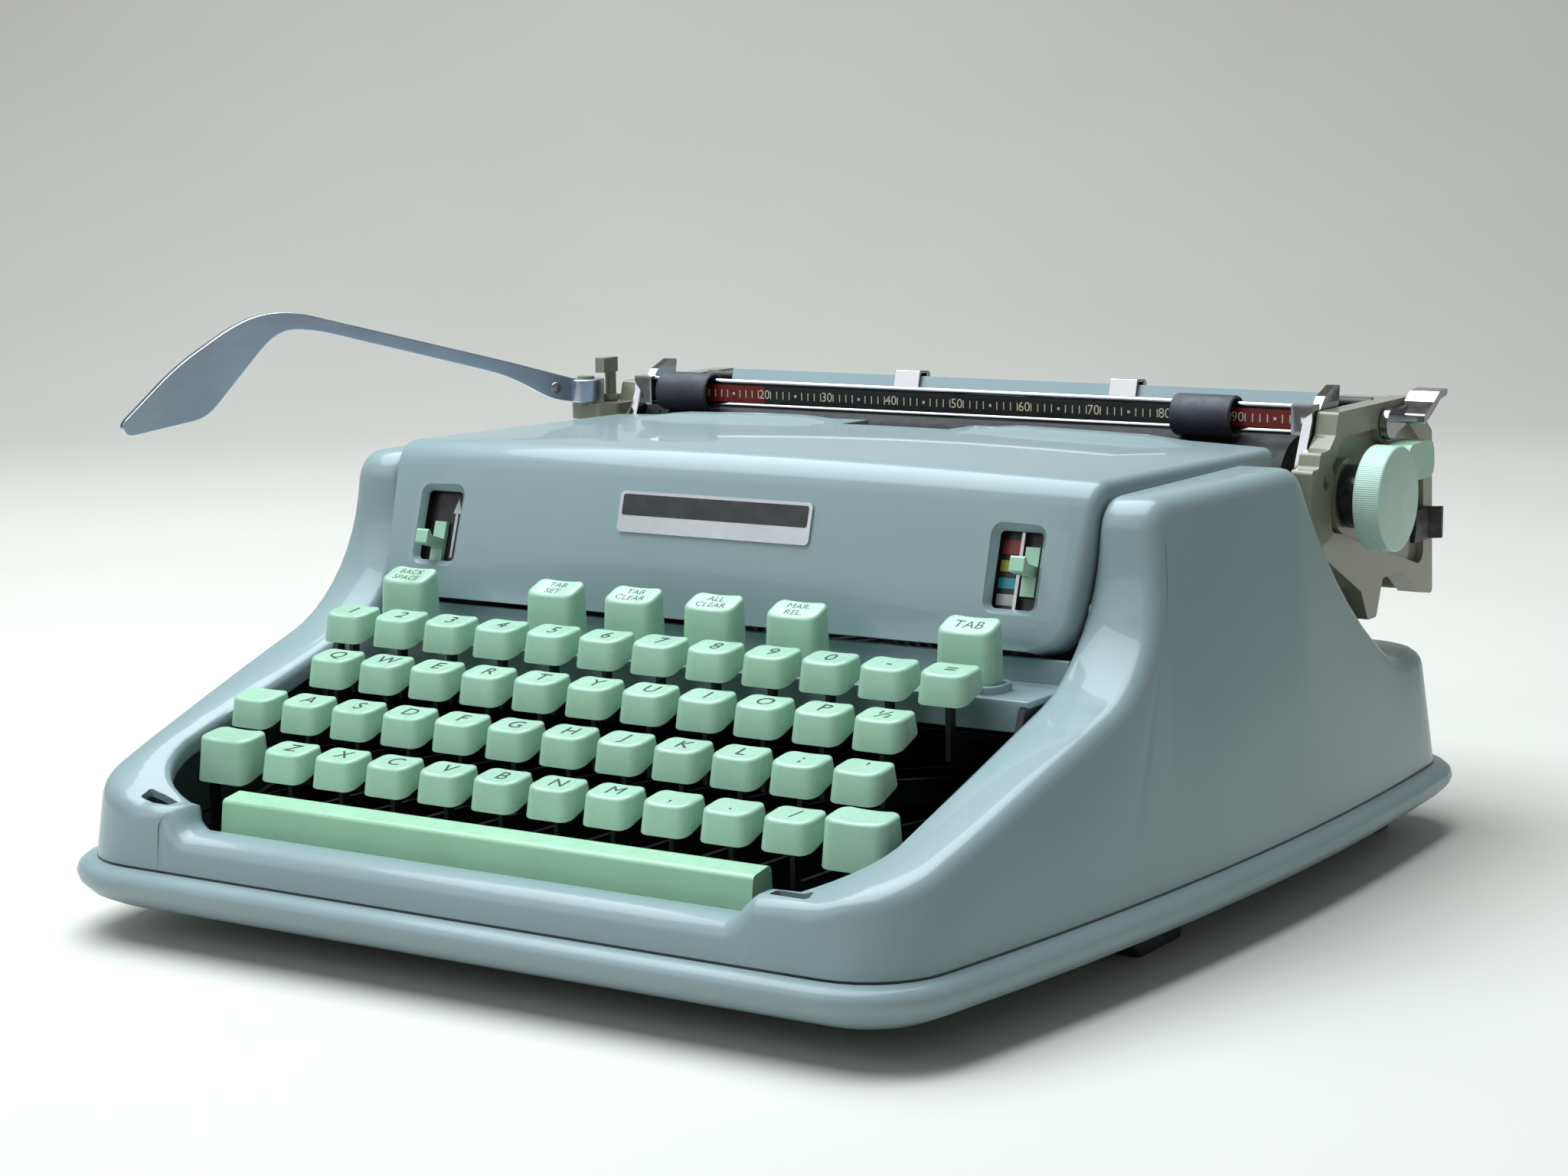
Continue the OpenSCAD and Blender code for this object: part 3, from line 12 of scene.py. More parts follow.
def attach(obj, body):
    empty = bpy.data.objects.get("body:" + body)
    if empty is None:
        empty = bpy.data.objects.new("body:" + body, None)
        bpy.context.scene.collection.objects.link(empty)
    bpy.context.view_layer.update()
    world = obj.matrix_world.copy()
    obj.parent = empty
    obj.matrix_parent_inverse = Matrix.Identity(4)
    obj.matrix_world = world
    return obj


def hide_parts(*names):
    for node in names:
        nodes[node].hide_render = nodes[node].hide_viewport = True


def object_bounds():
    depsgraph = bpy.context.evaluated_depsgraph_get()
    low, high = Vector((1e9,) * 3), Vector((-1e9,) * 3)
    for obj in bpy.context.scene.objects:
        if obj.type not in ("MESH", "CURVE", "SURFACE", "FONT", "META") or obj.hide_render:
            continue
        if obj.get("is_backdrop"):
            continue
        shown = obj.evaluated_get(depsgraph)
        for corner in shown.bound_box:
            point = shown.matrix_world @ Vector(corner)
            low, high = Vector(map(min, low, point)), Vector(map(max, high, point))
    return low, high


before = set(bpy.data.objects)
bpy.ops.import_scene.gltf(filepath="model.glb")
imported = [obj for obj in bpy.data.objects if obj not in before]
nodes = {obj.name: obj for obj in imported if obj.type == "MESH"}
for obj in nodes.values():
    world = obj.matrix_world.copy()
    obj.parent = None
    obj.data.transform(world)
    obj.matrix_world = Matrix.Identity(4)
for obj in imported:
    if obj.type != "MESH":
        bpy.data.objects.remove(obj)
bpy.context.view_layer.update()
MM = 0.001
UP = Vector((0, 0, 1))

# The platen, which the knobs and the bail follow
PLATEN_Y = 119.0
PLATEN_Z = 111.0
PLATEN_R = 18.5

# Colours, as linear red, green and blue
BODY = (0.256, 0.345, 0.358)
GREEN = (0.347, 0.563, 0.423)
SPACE_GREEN = (0.330, 0.577, 0.395)
KNOB_GREEN = (0.450, 0.650, 0.555)
OLIVE = (0.240, 0.238, 0.175)
BLACK = (0.012, 0.012, 0.013)
# Near black for the painted shade in the gap between the shell and the base's rim
GAP_SHADE_BLACK = (0.015, 0.016, 0.017)

# Values that several materials share; most of a noise lies between its low and high value
PAINT_ROUGH = 0.32
PAINT_COAT = 0.3
PAINT_SPECULAR = 0.28
KEY_ROUGH = 0.24
NOISE_LOW = 0.3
NOISE_HIGH = 0.7
NOISE_ROUGHNESS = 0.55


# Materials
class Look:
    """A material's node tree with short calls for the nodes used here."""

    def __init__(self, name, rough, metal=0.0, coat=0.0):
        self.mat = bpy.data.materials.new(name)
        self.mat.use_nodes = True
        self.tree = self.mat.node_tree
        self.shader = self.tree.nodes["Principled BSDF"]
        self.shader.inputs["Roughness"].default_value = rough
        self.shader.inputs["Metallic"].default_value = metal
        self.shader.inputs["Coat Weight"].default_value = coat
        self.coords = self.tree.nodes.new("ShaderNodeTexCoord").outputs["Object"]

    def link(self, out, into):
        self.tree.links.new(out, into)

    def stretched(self, scale):
        """The coordinates scaled by a factor for each axis."""
        mapping = self.tree.nodes.new("ShaderNodeMapping")
        mapping.inputs["Scale"].default_value = scale
        self.link(self.coords, mapping.inputs["Vector"])
        return mapping.outputs["Vector"]

    def noise(self, size, detail, scale=None):
        """Noise whose largest blots are about size across."""
        n = self.tree.nodes.new("ShaderNodeTexNoise")
        n.inputs["Scale"].default_value = 1 / (size * MM)
        n.inputs["Detail"].default_value = detail
        n.inputs["Roughness"].default_value = NOISE_ROUGHNESS
        self.link(self.stretched(scale) if scale else self.coords, n.inputs["Vector"])
        return n.outputs["Fac"]

    def ramp(self, fac, first, second, low=NOISE_LOW, high=NOISE_HIGH):
        """Runs from the first colour to the second while fac runs from low to high."""
        r = self.tree.nodes.new("ShaderNodeValToRGB")
        for stop, position, colour in zip(r.color_ramp.elements, (low, high), (first, second)):
            stop.position = position
            stop.color = (*colour, 1.0)
        self.link(fac, r.inputs["Fac"])
        return r.outputs["Color"]

    def span(self, fac, first, second, low=NOISE_LOW, high=NOISE_HIGH):
        """Runs from the first value to the second while fac runs from low to high."""
        m = self.tree.nodes.new("ShaderNodeMapRange")
        ends = {"From Min": low, "From Max": high, "To Min": first, "To Max": second}
        for name, value in ends.items():
            m.inputs[name].default_value = value
        self.link(fac, m.inputs["Value"])
        return m.outputs["Result"]

    def mix(self, fac, a, b):
        """Colour a where fac is 0 and b where it is 1; each is a colour or a socket."""
        m = self.tree.nodes.new("ShaderNodeMix")
        m.data_type = "RGBA"
        self.link(fac, m.inputs[0])
        for index, value in ((6, a), (7, b)):
            if isinstance(value, tuple):
                m.inputs[index].default_value = (*value, 1.0)
            else:
                self.link(value, m.inputs[index])
        return m.outputs[2]

    def place(self, axis):
        """The point's own coordinate in metres, or a part of its normal with axis 'nx', 'ny' or 'nz'."""
        geo = self.tree.nodes.new("ShaderNodeNewGeometry")
        split = self.tree.nodes.new("ShaderNodeSeparateXYZ")
        self.link(geo.outputs["Normal"] if axis[0] == "n" else self.coords, split.inputs["Vector"])
        return split.outputs[axis[-1].upper()]

    def math(self, operation, a, b=0.0):
        """One operation on numbers or sockets."""
        m = self.tree.nodes.new("ShaderNodeMath")
        m.operation = operation
        for socket, value in zip(m.inputs, (a, b)):
            if isinstance(value, (int, float)):
                socket.default_value = value
            else:
                self.link(value, socket)
        return m.outputs[0]

    def bump(self, height, strength, depth):
        b = self.tree.nodes.new("ShaderNodeBump")
        b.inputs["Strength"].default_value = strength
        b.inputs["Distance"].default_value = depth * MM
        self.link(height, b.inputs["Height"])
        self.link(b.outputs["Normal"], self.shader.inputs["Normal"])

    def colour(self, socket):
        self.link(socket, self.shader.inputs["Base Color"])

    def rough(self, socket):
        self.link(socket, self.shader.inputs["Roughness"])


def tint(colour, k):
    """The colour k times as bright, within range."""
    return tuple(min(1.0, c * k) for c in colour)


def paint(name, colour, rough, coat, shade_below_z=None, shade_blur=0.1, drift=0.03, speck=0.01, peel=0.03):
    """Stoved paint: slow drift of tone, small dust specks, orange peel and hand-worn gloss.

    Below the given height the sheet is dark: painted shade of the gap along its lower edge.
    """
    n = Look(name, rough, coat=coat)
    slow = n.ramp(n.noise(70, 2), tint(colour, 1 - drift), tint(colour, 1 + drift))
    dust = n.span(n.noise(2.2, 4), 0.0, speck, low=0.66, high=0.78)
    painted = n.mix(dust, slow, tint(colour, 0.45))
    # Painted shade: below the given height the sheet turns near black, as the gap under the shell lies in
    # shade
    if shade_below_z:
        gap_shade = n.span(n.place("z"), 1.0, 0.0, (shade_below_z - shade_blur) * MM, (shade_below_z + shade_blur) * MM)
        painted = n.mix(gap_shade, painted, GAP_SHADE_BLACK)
    n.colour(painted)
    n.rough(n.span(n.noise(60, 2), rough - 0.02, rough + 0.03))
    n.shader.inputs["Specular IOR Level"].default_value = PAINT_SPECULAR
    n.bump(n.noise(1.3, 2), peel, 0.03)
    return n.mat


def plastic(name, colour, rough, shade=0.04, cap=None, ribs=None):
    """Glossy moulded plastic, a little uneven in tone from key to key, with handling grime.

    cap gives the lowest z and the rearmost y of the plastic: the lever beyond is black.
    ribs gives the y and z of a knob's axis and the number of ribs round its rim.
    """
    n = Look(name, rough)
    tone = n.ramp(n.noise(24, 1), tint(colour, 1 - shade), tint(colour, 1 + shade))
    grime = n.span(n.noise(3.5, 4), 0.0, 0.06, low=0.62, high=0.84)
    moulded = n.mix(grime, tone, tint(colour, 0.66))
    if cap:
        lowest, rearmost = cap
        below = n.math("LESS_THAN", n.place("z"), lowest * MM)
        behind = n.math("GREATER_THAN", n.place("y"), rearmost * MM)
        moulded = n.mix(n.math("MAXIMUM", below, behind), moulded, BLACK)
    n.colour(moulded)
    n.rough(n.span(n.noise(6, 3), rough - 0.05, rough + 0.1))
    if ribs:
        y, z, count = ribs
        rise = n.math("SUBTRACT", n.place("z"), z * MM)
        reach = n.math("SUBTRACT", n.place("y"), y * MM)
        wave = n.math("SINE", n.math("MULTIPLY", n.math("ARCTAN2", rise, reach), count))
        rim = n.span(n.math("ABSOLUTE", n.place("nx")), 1.0, 0.0, low=0.2, high=0.5)
        n.bump(n.math("MULTIPLY", wave, rim), 0.35, 0.12)
    else:
        n.bump(n.noise(0.9, 2), 0.02, 0.03)
    n.shader.inputs["Subsurface Weight"].default_value = 0.08
    n.shader.inputs["Subsurface Radius"].default_value = (0.003, 0.004, 0.003)
    return n.mat


def metal(name, colour, rough, brush=None, dirt=0.2):
    """Plated or brushed metal with streaks along the given direction and some tarnish."""
    n = Look(name, rough, metal=1.0)
    tone = n.ramp(n.noise(30, 3), tint(colour, 0.86), colour)
    tarnish = n.span(n.noise(7, 4), 0.0, dirt, low=0.58, high=0.85)
    n.colour(n.mix(tarnish, tone, tint(colour, 0.4)))
    n.rough(n.span(n.noise(3, 2, scale=brush), max(0.03, rough - 0.04), rough + 0.05))
    return n.mat


def dark(name, colour, rough, bump=0.2):
    """Black oxide or rubber: near black with a grey bloom of dust."""
    n = Look(name, rough)
    n.colour(n.ramp(n.noise(9, 5), tint(colour, 0.75), tint(colour, 1.5), low=0.35))
    n.rough(n.span(n.noise(5, 3), rough - 0.08, rough + 0.1))
    n.bump(n.noise(1.5, 4), bump, 0.08)
    return n.mat


def printed(name, colour, rough=0.5):
    """Ink or enamel filling, slightly broken up."""
    n = Look(name, rough)
    n.colour(n.ramp(n.noise(1.2, 3), tint(colour, 0.8), colour, low=0.25, high=0.6))
    return n.mat


def pan_material(inside_z=17.2, outside_z=18.0):
    """Painted outside; the floor inside, which faces up below those heights, is near black and uneven in
    tone.
    """
    n = Look("pan_paint", 0.3, coat=0.2)
    outside = n.ramp(n.noise(70, 2), tint(BODY, 0.95), tint(BODY, 1.05))
    inside = n.ramp(n.noise(9, 4), (0.007, 0.007, 0.008), (0.02, 0.02, 0.02), low=0.35, high=0.75)
    deep = n.span(n.place("z"), 1.0, 0.0, inside_z * MM, outside_z * MM)
    faces_up = n.span(n.place("nz"), 0.0, 1.0, low=0.05, high=0.3)
    n.colour(n.mix(n.math("MULTIPLY", deep, faces_up), outside, inside))
    n.rough(n.span(n.noise(22, 4), 0.30, 0.42))
    n.shader.inputs["Specular IOR Level"].default_value = PAINT_SPECULAR
    n.bump(n.noise(1.3, 2), 0.1, 0.05)
    return n.mat


# Height below which the shell's paint turns to painted shade of the gap over the base's rim
GAP_SHADE_Z = 22.7
SPACE_LOW_Z = 28.4
SPACE_REAR_Y = -136.6
KNOB_RIBS = 150

body_paint = paint("body_paint", BODY, PAINT_ROUGH, PAINT_COAT)
shell_paint = paint("shell_paint", BODY, PAINT_ROUGH, PAINT_COAT, shade_below_z=GAP_SHADE_Z)
# The paper table's paint is the body colour made half again as bright: a painted highlight for its face,
# which leans back into the light
lit_table_paint = paint("lit_table_paint", tint(BODY, 1.5), PAINT_ROUGH, PAINT_COAT)
plate_paint = paint("plate_paint", OLIVE, rough=0.28, coat=0.5)
key_green = plastic("key_green", GREEN, KEY_ROUGH)
space_green = plastic("space_green", SPACE_GREEN, rough=0.26, cap=(SPACE_LOW_Z, SPACE_REAR_Y))
knob_green = plastic("knob_green", KNOB_GREEN, rough=0.28, shade=0.02,
                     ribs=(PLATEN_Y, PLATEN_Z, KNOB_RIBS))
black_steel = dark("black_steel", BLACK, rough=0.42)
black_rubber = dark("black_rubber", (0.017, 0.017, 0.019), rough=0.6)
roller_rubber = dark("roller_rubber", (0.035, 0.037, 0.052), rough=0.55)
black_gloss = dark("black_gloss", (0.014, 0.014, 0.015), rough=0.14, bump=0.02)
badge_black = dark("badge_black", (0.02, 0.022, 0.024), rough=0.35)
badge_silver = metal("badge_silver", (0.60, 0.63, 0.65), rough=0.4, dirt=0.03)
steel = metal("steel", (0.42, 0.42, 0.43), rough=0.32)
chrome = metal("chrome", (0.52, 0.53, 0.54), rough=0.10, dirt=0.1)
alloy = metal("alloy", (0.58, 0.65, 0.77), rough=0.28, brush=(0.1, 0.1, 1.0), dirt=0.03)
ink = printed("key_ink", (0.014, 0.015, 0.016))
cream = printed("scale_cream", (0.78, 0.72, 0.52))
scale_red = printed("scale_red", (0.20, 0.014, 0.012), rough=0.35)
pale_grey = printed("arrow_grey", (0.55, 0.57, 0.58))

# Finishes of the CAD nodes: the angles say above which an edge counts as sharp
SHARP = 38
SHEET_SHARP = 50
TURNED_SHARP = 30
BEVELLED_SHARP = 60
WELD = 0.01


def split_edges(o, sharp):
    """Shades the edges sharper than that as edges."""
    o.modifiers.new("split", "EDGE_SPLIT").split_angle = math.radians(sharp)


def rounded_edges(o, bevel, sharp=SHARP, segments=2):
    """Rounds the sharp edges and keeps the flats between them flat in the light."""
    b = o.modifiers.new("edge", "BEVEL")
    b.width = bevel * MM
    b.segments = segments
    b.limit_method = "ANGLE"
    b.angle_limit = math.radians(sharp)
    split_edges(o, BEVELLED_SHARP)
    o.modifiers.new("even", "WEIGHTED_NORMAL")


def dress(node, mat, bevel=0.0, sharp=SHARP, segments=2):
    """Gives a CAD node its material and, with a bevel, rounded edges."""
    o = nodes[node]
    o.data.materials.clear()
    o.data.materials.append(mat)
    if "custom_normal" in o.data.attributes:
        o.data.attributes.remove(o.data.attributes["custom_normal"])
    o.data.polygons.foreach_set("use_smooth", [True] * len(o.data.polygons))
    o.modifiers.new("weld", "WELD").merge_threshold = WELD * MM
    if bevel:
        rounded_edges(o, bevel, sharp, segments)
    else:
        split_edges(o, sharp)


dress("body_shell", shell_paint, sharp=SHEET_SHARP)
dress("hood", body_paint, sharp=SHEET_SHARP)
dress("base_pan", pan_material(), sharp=SHEET_SHARP)
dress("key_shelf", body_paint, bevel=0.5)
dress("paper_table", lit_table_paint, bevel=0.3)
for row in ("number_row", "upper_row", "home_row", "lower_row"):
    dress(row + "_levers", black_steel, bevel=0.15)
dress("space_bar", space_green, bevel=0.6)
for node in ("platen_knob_left", "platen_knob_right"):
    dress(node, knob_green, sharp=TURNED_SHARP)
for node in ("touch_lever", "colour_lever", "carriage_release_left", "carriage_release_right"):
    dress(node, key_green, bevel=0.5)
for node in ("end_plate_left", "end_plate_right"):
    dress(node, plate_paint, bevel=1.6, segments=4)
for node in ("carriage_bed", "rear_cover", "line_selector"):
    dress(node, plate_paint, bevel=0.4)
for node in ("side_frames", "ribbon_cups", "window_plates", "guide_rod", "bail_scale"):
    dress(node, black_steel, bevel=0.2)
for node in ("cross_bars", "key_fulcrum", "carriage_rail", "hood_hinge", "carriage_rack", "spring_drum",
             "ribbon_spool_left", "ribbon_spool_right", "type_segment", "typebars", "ribbon_vibrator"):
    dress(node, steel, sharp=TURNED_SHARP)
for node in ("bail_frame", "paper_release", "paper_guide_left", "paper_guide_right"):
    dress(node, chrome, bevel=0.25)
dress("platen_shaft", black_gloss, sharp=TURNED_SHARP)
for node in ("bail_roller_left", "bail_roller_right"):
    dress(node, roller_rubber, bevel=0.8, sharp=SHEET_SHARP)
dress("platen_roller", black_rubber, sharp=SHEET_SHARP)
dress("feet", black_rubber, bevel=0.8)

# New pieces: a shape is a pair of points and faces
FONT_CAPITAL = 0.69  # height of a capital as a share of the font's size


def piece(name, verts, faces, mat, body, slot=None, smooth=False):
    """A mesh that rides on a body."""
    mesh = bpy.data.meshes.new(name)
    mesh.from_pydata([Vector(v) * MM for v in verts], [], faces)
    mesh.materials.append(mat)
    mesh.polygons.foreach_set("use_smooth", [smooth] * len(mesh.polygons))
    o = bpy.data.objects.new(name, mesh)
    bpy.context.scene.collection.objects.link(o)
    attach(o, body)
    return o


def glyphs(name, items, mat, body):
    """One piece of all the texts in items: (text, height, function from a text's (u, v) to a point)."""
    verts, faces = [], []
    for text, height, place in items:
        curve = bpy.data.curves.new("glyph", "FONT")
        curve.body = text
        curve.align_x = "CENTER"
        curve.align_y = "CENTER"
        curve.size = height / FONT_CAPITAL
        curve.resolution_u = 3
        temp = bpy.data.objects.new("glyph", curve)
        bpy.context.scene.collection.objects.link(temp)
        bpy.context.view_layer.update()
        mesh = temp.evaluated_get(bpy.context.evaluated_depsgraph_get()).to_mesh()
        base = len(verts)
        verts += [place(v.co.x, v.co.y) for v in mesh.vertices]
        faces += [[base + i for i in p.vertices] for p in mesh.polygons]
        bpy.data.objects.remove(temp)
        bpy.data.curves.remove(curve)
    return piece(name, verts, faces, mat, body)


def joined(shapes):
    """Several shapes as one."""
    verts, faces = [], []
    for more_verts, more_faces in shapes:
        faces += [tuple(i + len(verts) for i in face) for face in more_faces]
        verts += more_verts
    return verts, faces


def loft(rings):
    """A skin over rings of as many points each, closed at the first and the last ring."""
    n = len(rings[0])
    verts = [point for ring in rings for point in ring]
    faces = [tuple(range(n))[::-1], tuple(range(len(verts) - n, len(verts)))]
    faces += [(k * n + i, k * n + (i + 1) % n, (k + 1) * n + (i + 1) % n, (k + 1) * n + i)
              for k in range(len(rings) - 1) for i in range(n)]
    return verts, faces


def box(x0, x1, y0, y1, z0, z1):
    verts = [(x, y, z) for x in (x0, x1) for y in (y0, y1) for z in (z0, z1)]
    faces = [(0, 1, 3, 2), (4, 6, 7, 5), (0, 4, 5, 1), (2, 3, 7, 6), (0, 2, 6, 4), (1, 5, 7, 3)]
    return verts, faces


def prism(outline, x0, x1):
    """An outline in y and z, drawn out along x."""
    return loft([[(x, y, z) for y, z in outline] for x in (x0, x1)])


def washer(centre, u, v, w, outer, inner, low, high, count=32):
    """A ring round the axis w, from low to high along it; u and v span its plane."""
    turns = [2 * math.pi * k / count for k in range(count)]
    section = ((low, outer), (high, outer), (high, inner), (low, inner))
    verts = [Vector(centre) + (Vector(u) * math.cos(t) + Vector(v) * math.sin(t)) * r + Vector(w) * h
             for h, r in section for t in turns]
    faces = []
    for side in range(len(section)):
        here, there = side * count, (side + 1) % len(section) * count
        for k in range(count):
            following = (k + 1) % count
            faces.append((here + k, here + following, there + following, there + k))
    return verts, faces


def between(a, b, t):
    """The value t of the way from a to b."""
    return a + (b - a) * t


def rect(x0, x1, u0, u1):
    return [(x0, u0), (x1, u0), (x1, u1), (x0, u1)]


def rounded_rect(x0, x1, u0, u1, r, steps=5, parts=1):
    """Outline with so many steps to a corner and so many parts to a straight side."""
    centres = ((x1 - r, u0 + r, -90), (x1 - r, u1 - r, 0), (x0 + r, u1 - r, 90), (x0 + r, u0 + r, 180))
    corners = []
    for cx, cu, start in centres:
        angles = [math.radians(start + 90 * k / steps) for k in range(steps + 1)]
        corners.append([(cx + r * math.cos(a), cu + r * math.sin(a)) for a in angles])
    outline = []
    for arc, following in zip(corners, corners[1:] + corners[:1]):
        (ax, au), (bx, bu) = arc[-1], following[0]
        outline += arc + [(between(ax, bx, k / parts), between(au, bu, k / parts)) for k in range(1, parts)]
    return outline


# Keys: moulded tops, rounder at their corners than the solids that they stand for
PITCH = 19.05
ROW_DY = 18.8
ROW_DZ = 10.1
FIRST_X = -84.5  # middle of the lower row's first cap
LOWER_Y = -134.0  # front foot of the lower row's caps
LOWER_Z = 43.9
DISH_R = 52.0
DISH = 0.35
CAP_W = 15.2
CAP_D = 12.0
CAP_H = 8.7
CAP_TILT = 1.5  # rise of the top from front to back
CAP_RISE = 0.4  # slope of the skirt's lower edge
CAP_SIDE_IN = 0.5
CAP_FRONT_IN = 1.2
CAP_BACK_IN = 0.8
CAP_SWELL = 0.3  # how far the skirt stands out past the solid's
CAP_CORNER_R = 3.2
TOP_EDGE_R = 1.1
TOP_EDGE_STEPS = 5
TOP_SIDE_PARTS = 6
TOP_RINGS = (0.7, 0.4, 0.1)  # sizes of the rings inside a top, against its rim
SHIFT_W = 19.0
SHIFT_X = 107.3
SHIFT_LANE = 115.1  # x of the shift keys' levers
SHIFT_LOW = 2.5
SHIFT_HIGH = 1.8
FN_W = 18.5
FN_D = 10.0
FN_Y = -61.0
FN_LOW_Z = 70.0
FN_TOP_Z = 95.2
FN_FALL = 3.5
FN_IN = 0.7
FN_CORNER_R = 2.6
STEM_Y = 6.0
STEM_D = 3.0
STEM_DROP = 9.0
STEM_SINK = 2.0
KEY_LEVER_W = 1.6
KEY_LEVER_H = 7.0
FULCRUM_Y = 62.0
FULCRUM_Z = 27.0
FULCRUM_HUB_R = 5.0
FULCRUM_BORE_R = 2.55
KEY_SHARP = 50
PLASTIC_MARGIN = 0.1

# Body, stagger in pitches and letters of each row
ROWS = [
    ("number_row", -1.25, "1234567890-="),
    ("upper_row", -0.75, "QWERTYUIOP½"),
    ("home_row", -0.5, "ASDFGHJKL;'"),
    ("lower_row", 0.0, "ZXCVBNM,./"),
]
HOME, LOWER = 2, 3  # places of two rows in that list

# Body, node, x and two words of each function key
FN = [
    ("back", "back_key", -98.5, "BACK", "SPACE"),
    ("tab_set", "tab_set_key", -42.5, "TAB", "SET"),
    ("tab_clear", "tab_clear_key", -14.2, "TAB", "CLEAR"),
    ("all_clear", "all_clear_key", 14.2, "ALL", "CLEAR"),
    ("margin", "margin_release_key", 42.5, "MAR.", "REL."),
    ("tabulator", "tabulator_key", 98.5, "TAB", ""),
]


def key_x(stagger, i):
    return FIRST_X + (stagger + i) * PITCH


def row_y(r):
    return LOWER_Y + (LOWER - r) * ROW_DY


def row_z(r):
    return LOWER_Z + (LOWER - r) * ROW_DZ


def dish(x):
    """Height of the dished top over its rim's plane, at x from the key's middle."""
    return DISH_R - math.sqrt(DISH_R * DISH_R - x * x) - DISH


def key_top(at, low, top, corner):
    """A key lofted from one outline to another: (half width, y in front, y behind, z in front, z behind).

    corner rounds it seen from above, and TOP_EDGE_R rounds it over into the dished top.
    """
    levels = [(0.0, 0.0, 0.0)]
    for k in range(TOP_EDGE_STEPS + 1):
        a = math.radians(90 * k / TOP_EDGE_STEPS)
        height = 1 - TOP_EDGE_R * (1 - math.sin(a)) / (top[3] - low[3])
        levels.append((height, TOP_EDGE_R * (1 - math.cos(a)), math.sin(a)))
    sections = []
    for height, inset, hollow in levels:
        plane = [between(a, b, height) for a, b in zip(low, top)]
        half, y0, y1 = plane[:3]
        sections.append((plane, hollow, rounded_rect(inset - half, half - inset, y0 + inset, y1 - inset,
                                                     corner - inset, parts=TOP_SIDE_PARTS)))
    plane, hollow, rim = sections[-1]
    middle = (plane[1] + plane[2]) / 2
    for size in TOP_RINGS:
        sections.append((plane, hollow, [(x * size, middle + (y - middle) * size) for x, y in rim]))
    rings = []
    for (half, y0, y1, z0, z1), hollow, outline in sections:
        rings.append([(at[0] + x, at[1] + y,
                       at[2] + between(z0, z1, (y - y0) / (y1 - y0)) + min(0.0, dish(x)) * hollow)
                      for x, y in outline])
    return loft(rings)


def cap(x, y, z, width=CAP_W, height=CAP_H):
    """A character key's cap, whose skirt starts at y, z in front."""
    half, front, rear = width / 2 + CAP_SWELL, -CAP_SWELL, CAP_D + CAP_SWELL
    low = (half, front, rear, 0, CAP_D * CAP_RISE)
    top = (half - CAP_SIDE_IN, front + CAP_FRONT_IN, rear - CAP_BACK_IN, height, height + CAP_TILT)
    return key_top((x, y, z), low, top, CAP_CORNER_R)


def key_lever(x, y, z):
    """A flat lever from its hub on the key rod to a stem that ends in the key standing at y, z."""
    back = y + STEM_Y + STEM_D / 2
    front, arm_z = back - STEM_D, z - STEM_DROP
    root = FULCRUM_Y - (FULCRUM_HUB_R + FULCRUM_BORE_R) / 2
    arm = [
        (front, z + CAP_RISE * (front - y) + STEM_SINK),
        (front, arm_z - KEY_LEVER_H),
        (root, FULCRUM_Z - FULCRUM_HUB_R / 2),
        (root, FULCRUM_Z + FULCRUM_HUB_R / 2),
        (back, arm_z),
        (back, z + CAP_RISE * (back - y) + STEM_SINK),
    ]
    x0, x1 = x - KEY_LEVER_W / 2, x + KEY_LEVER_W / 2
    hub = washer((0, FULCRUM_Y, FULCRUM_Z), (0, 1, 0), UP, (1, 0, 0), FULCRUM_HUB_R, FULCRUM_BORE_R, x0, x1)
    return [prism(arm, x0, x1), hub]


def plastic_bounds(y, z):
    """Lowest z and rearmost y of the plastic of a key standing at y, z."""
    return z - PLASTIC_MARGIN, y + CAP_D + CAP_SWELL + PLASTIC_MARGIN


def key_piece(name, shapes, mat, body, node):
    """A piece of keys that stands for a CAD node."""
    o = piece(name, *joined(shapes), mat, body, smooth=True)
    split_edges(o, KEY_SHARP)
    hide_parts(node)


for r, (body, stagger, letters) in enumerate(ROWS):
    caps = [cap(key_x(stagger, i), row_y(r), row_z(r)) for i in range(len(letters))]
    key_piece(body + "_tops", caps, key_green, body, body + "_caps")

shift_at = (row_y(LOWER), row_z(LOWER) - SHIFT_LOW)
shift_green = plastic("shift_green", GREEN, KEY_ROUGH, cap=plastic_bounds(*shift_at))
for word, side in (("left", -1), ("right", 1)):
    shapes = [cap(side * SHIFT_X, *shift_at, SHIFT_W, CAP_H + SHIFT_LOW + SHIFT_HIGH)]
    shapes += key_lever(side * SHIFT_LANE, *shift_at)
    key_piece("shift_top_" + word, shapes, shift_green, "shift_key_" + word, "shift_" + word)

lock_at = (key_x(ROWS[HOME][1], -1), row_y(HOME), row_z(HOME))
lock_green = plastic("lock_green", GREEN, KEY_ROUGH, cap=plastic_bounds(*lock_at[1:]))
key_piece("lock_top", [cap(*lock_at)] + key_lever(*lock_at), lock_green, "lock_key", "shift_lock")

FN_H = FN_TOP_Z - FN_LOW_Z
fn_low = (FN_W / 2, 0, FN_D, 0, 0)
fn_top = (FN_W / 2 - FN_IN, FN_IN, FN_D - FN_IN, FN_H - FN_FALL, FN_H)
for body, node, x, first, second in FN:
    shape = key_top((x, FN_Y, FN_LOW_Z), fn_low, fn_top, FN_CORNER_R)
    key_piece(body + "_top", [shape], key_green, body, node)

# Key legends, in the dished tops
LETTER_H = 5.0
WORD_H = 2.4
LONE_WORD_H = 3.6
FIRST_DOWN = -1.2  # distances below the middle of the top
SECOND_DOWN = 2.2
LONE_DOWN = 0.5
INK_LIFT = 0.06


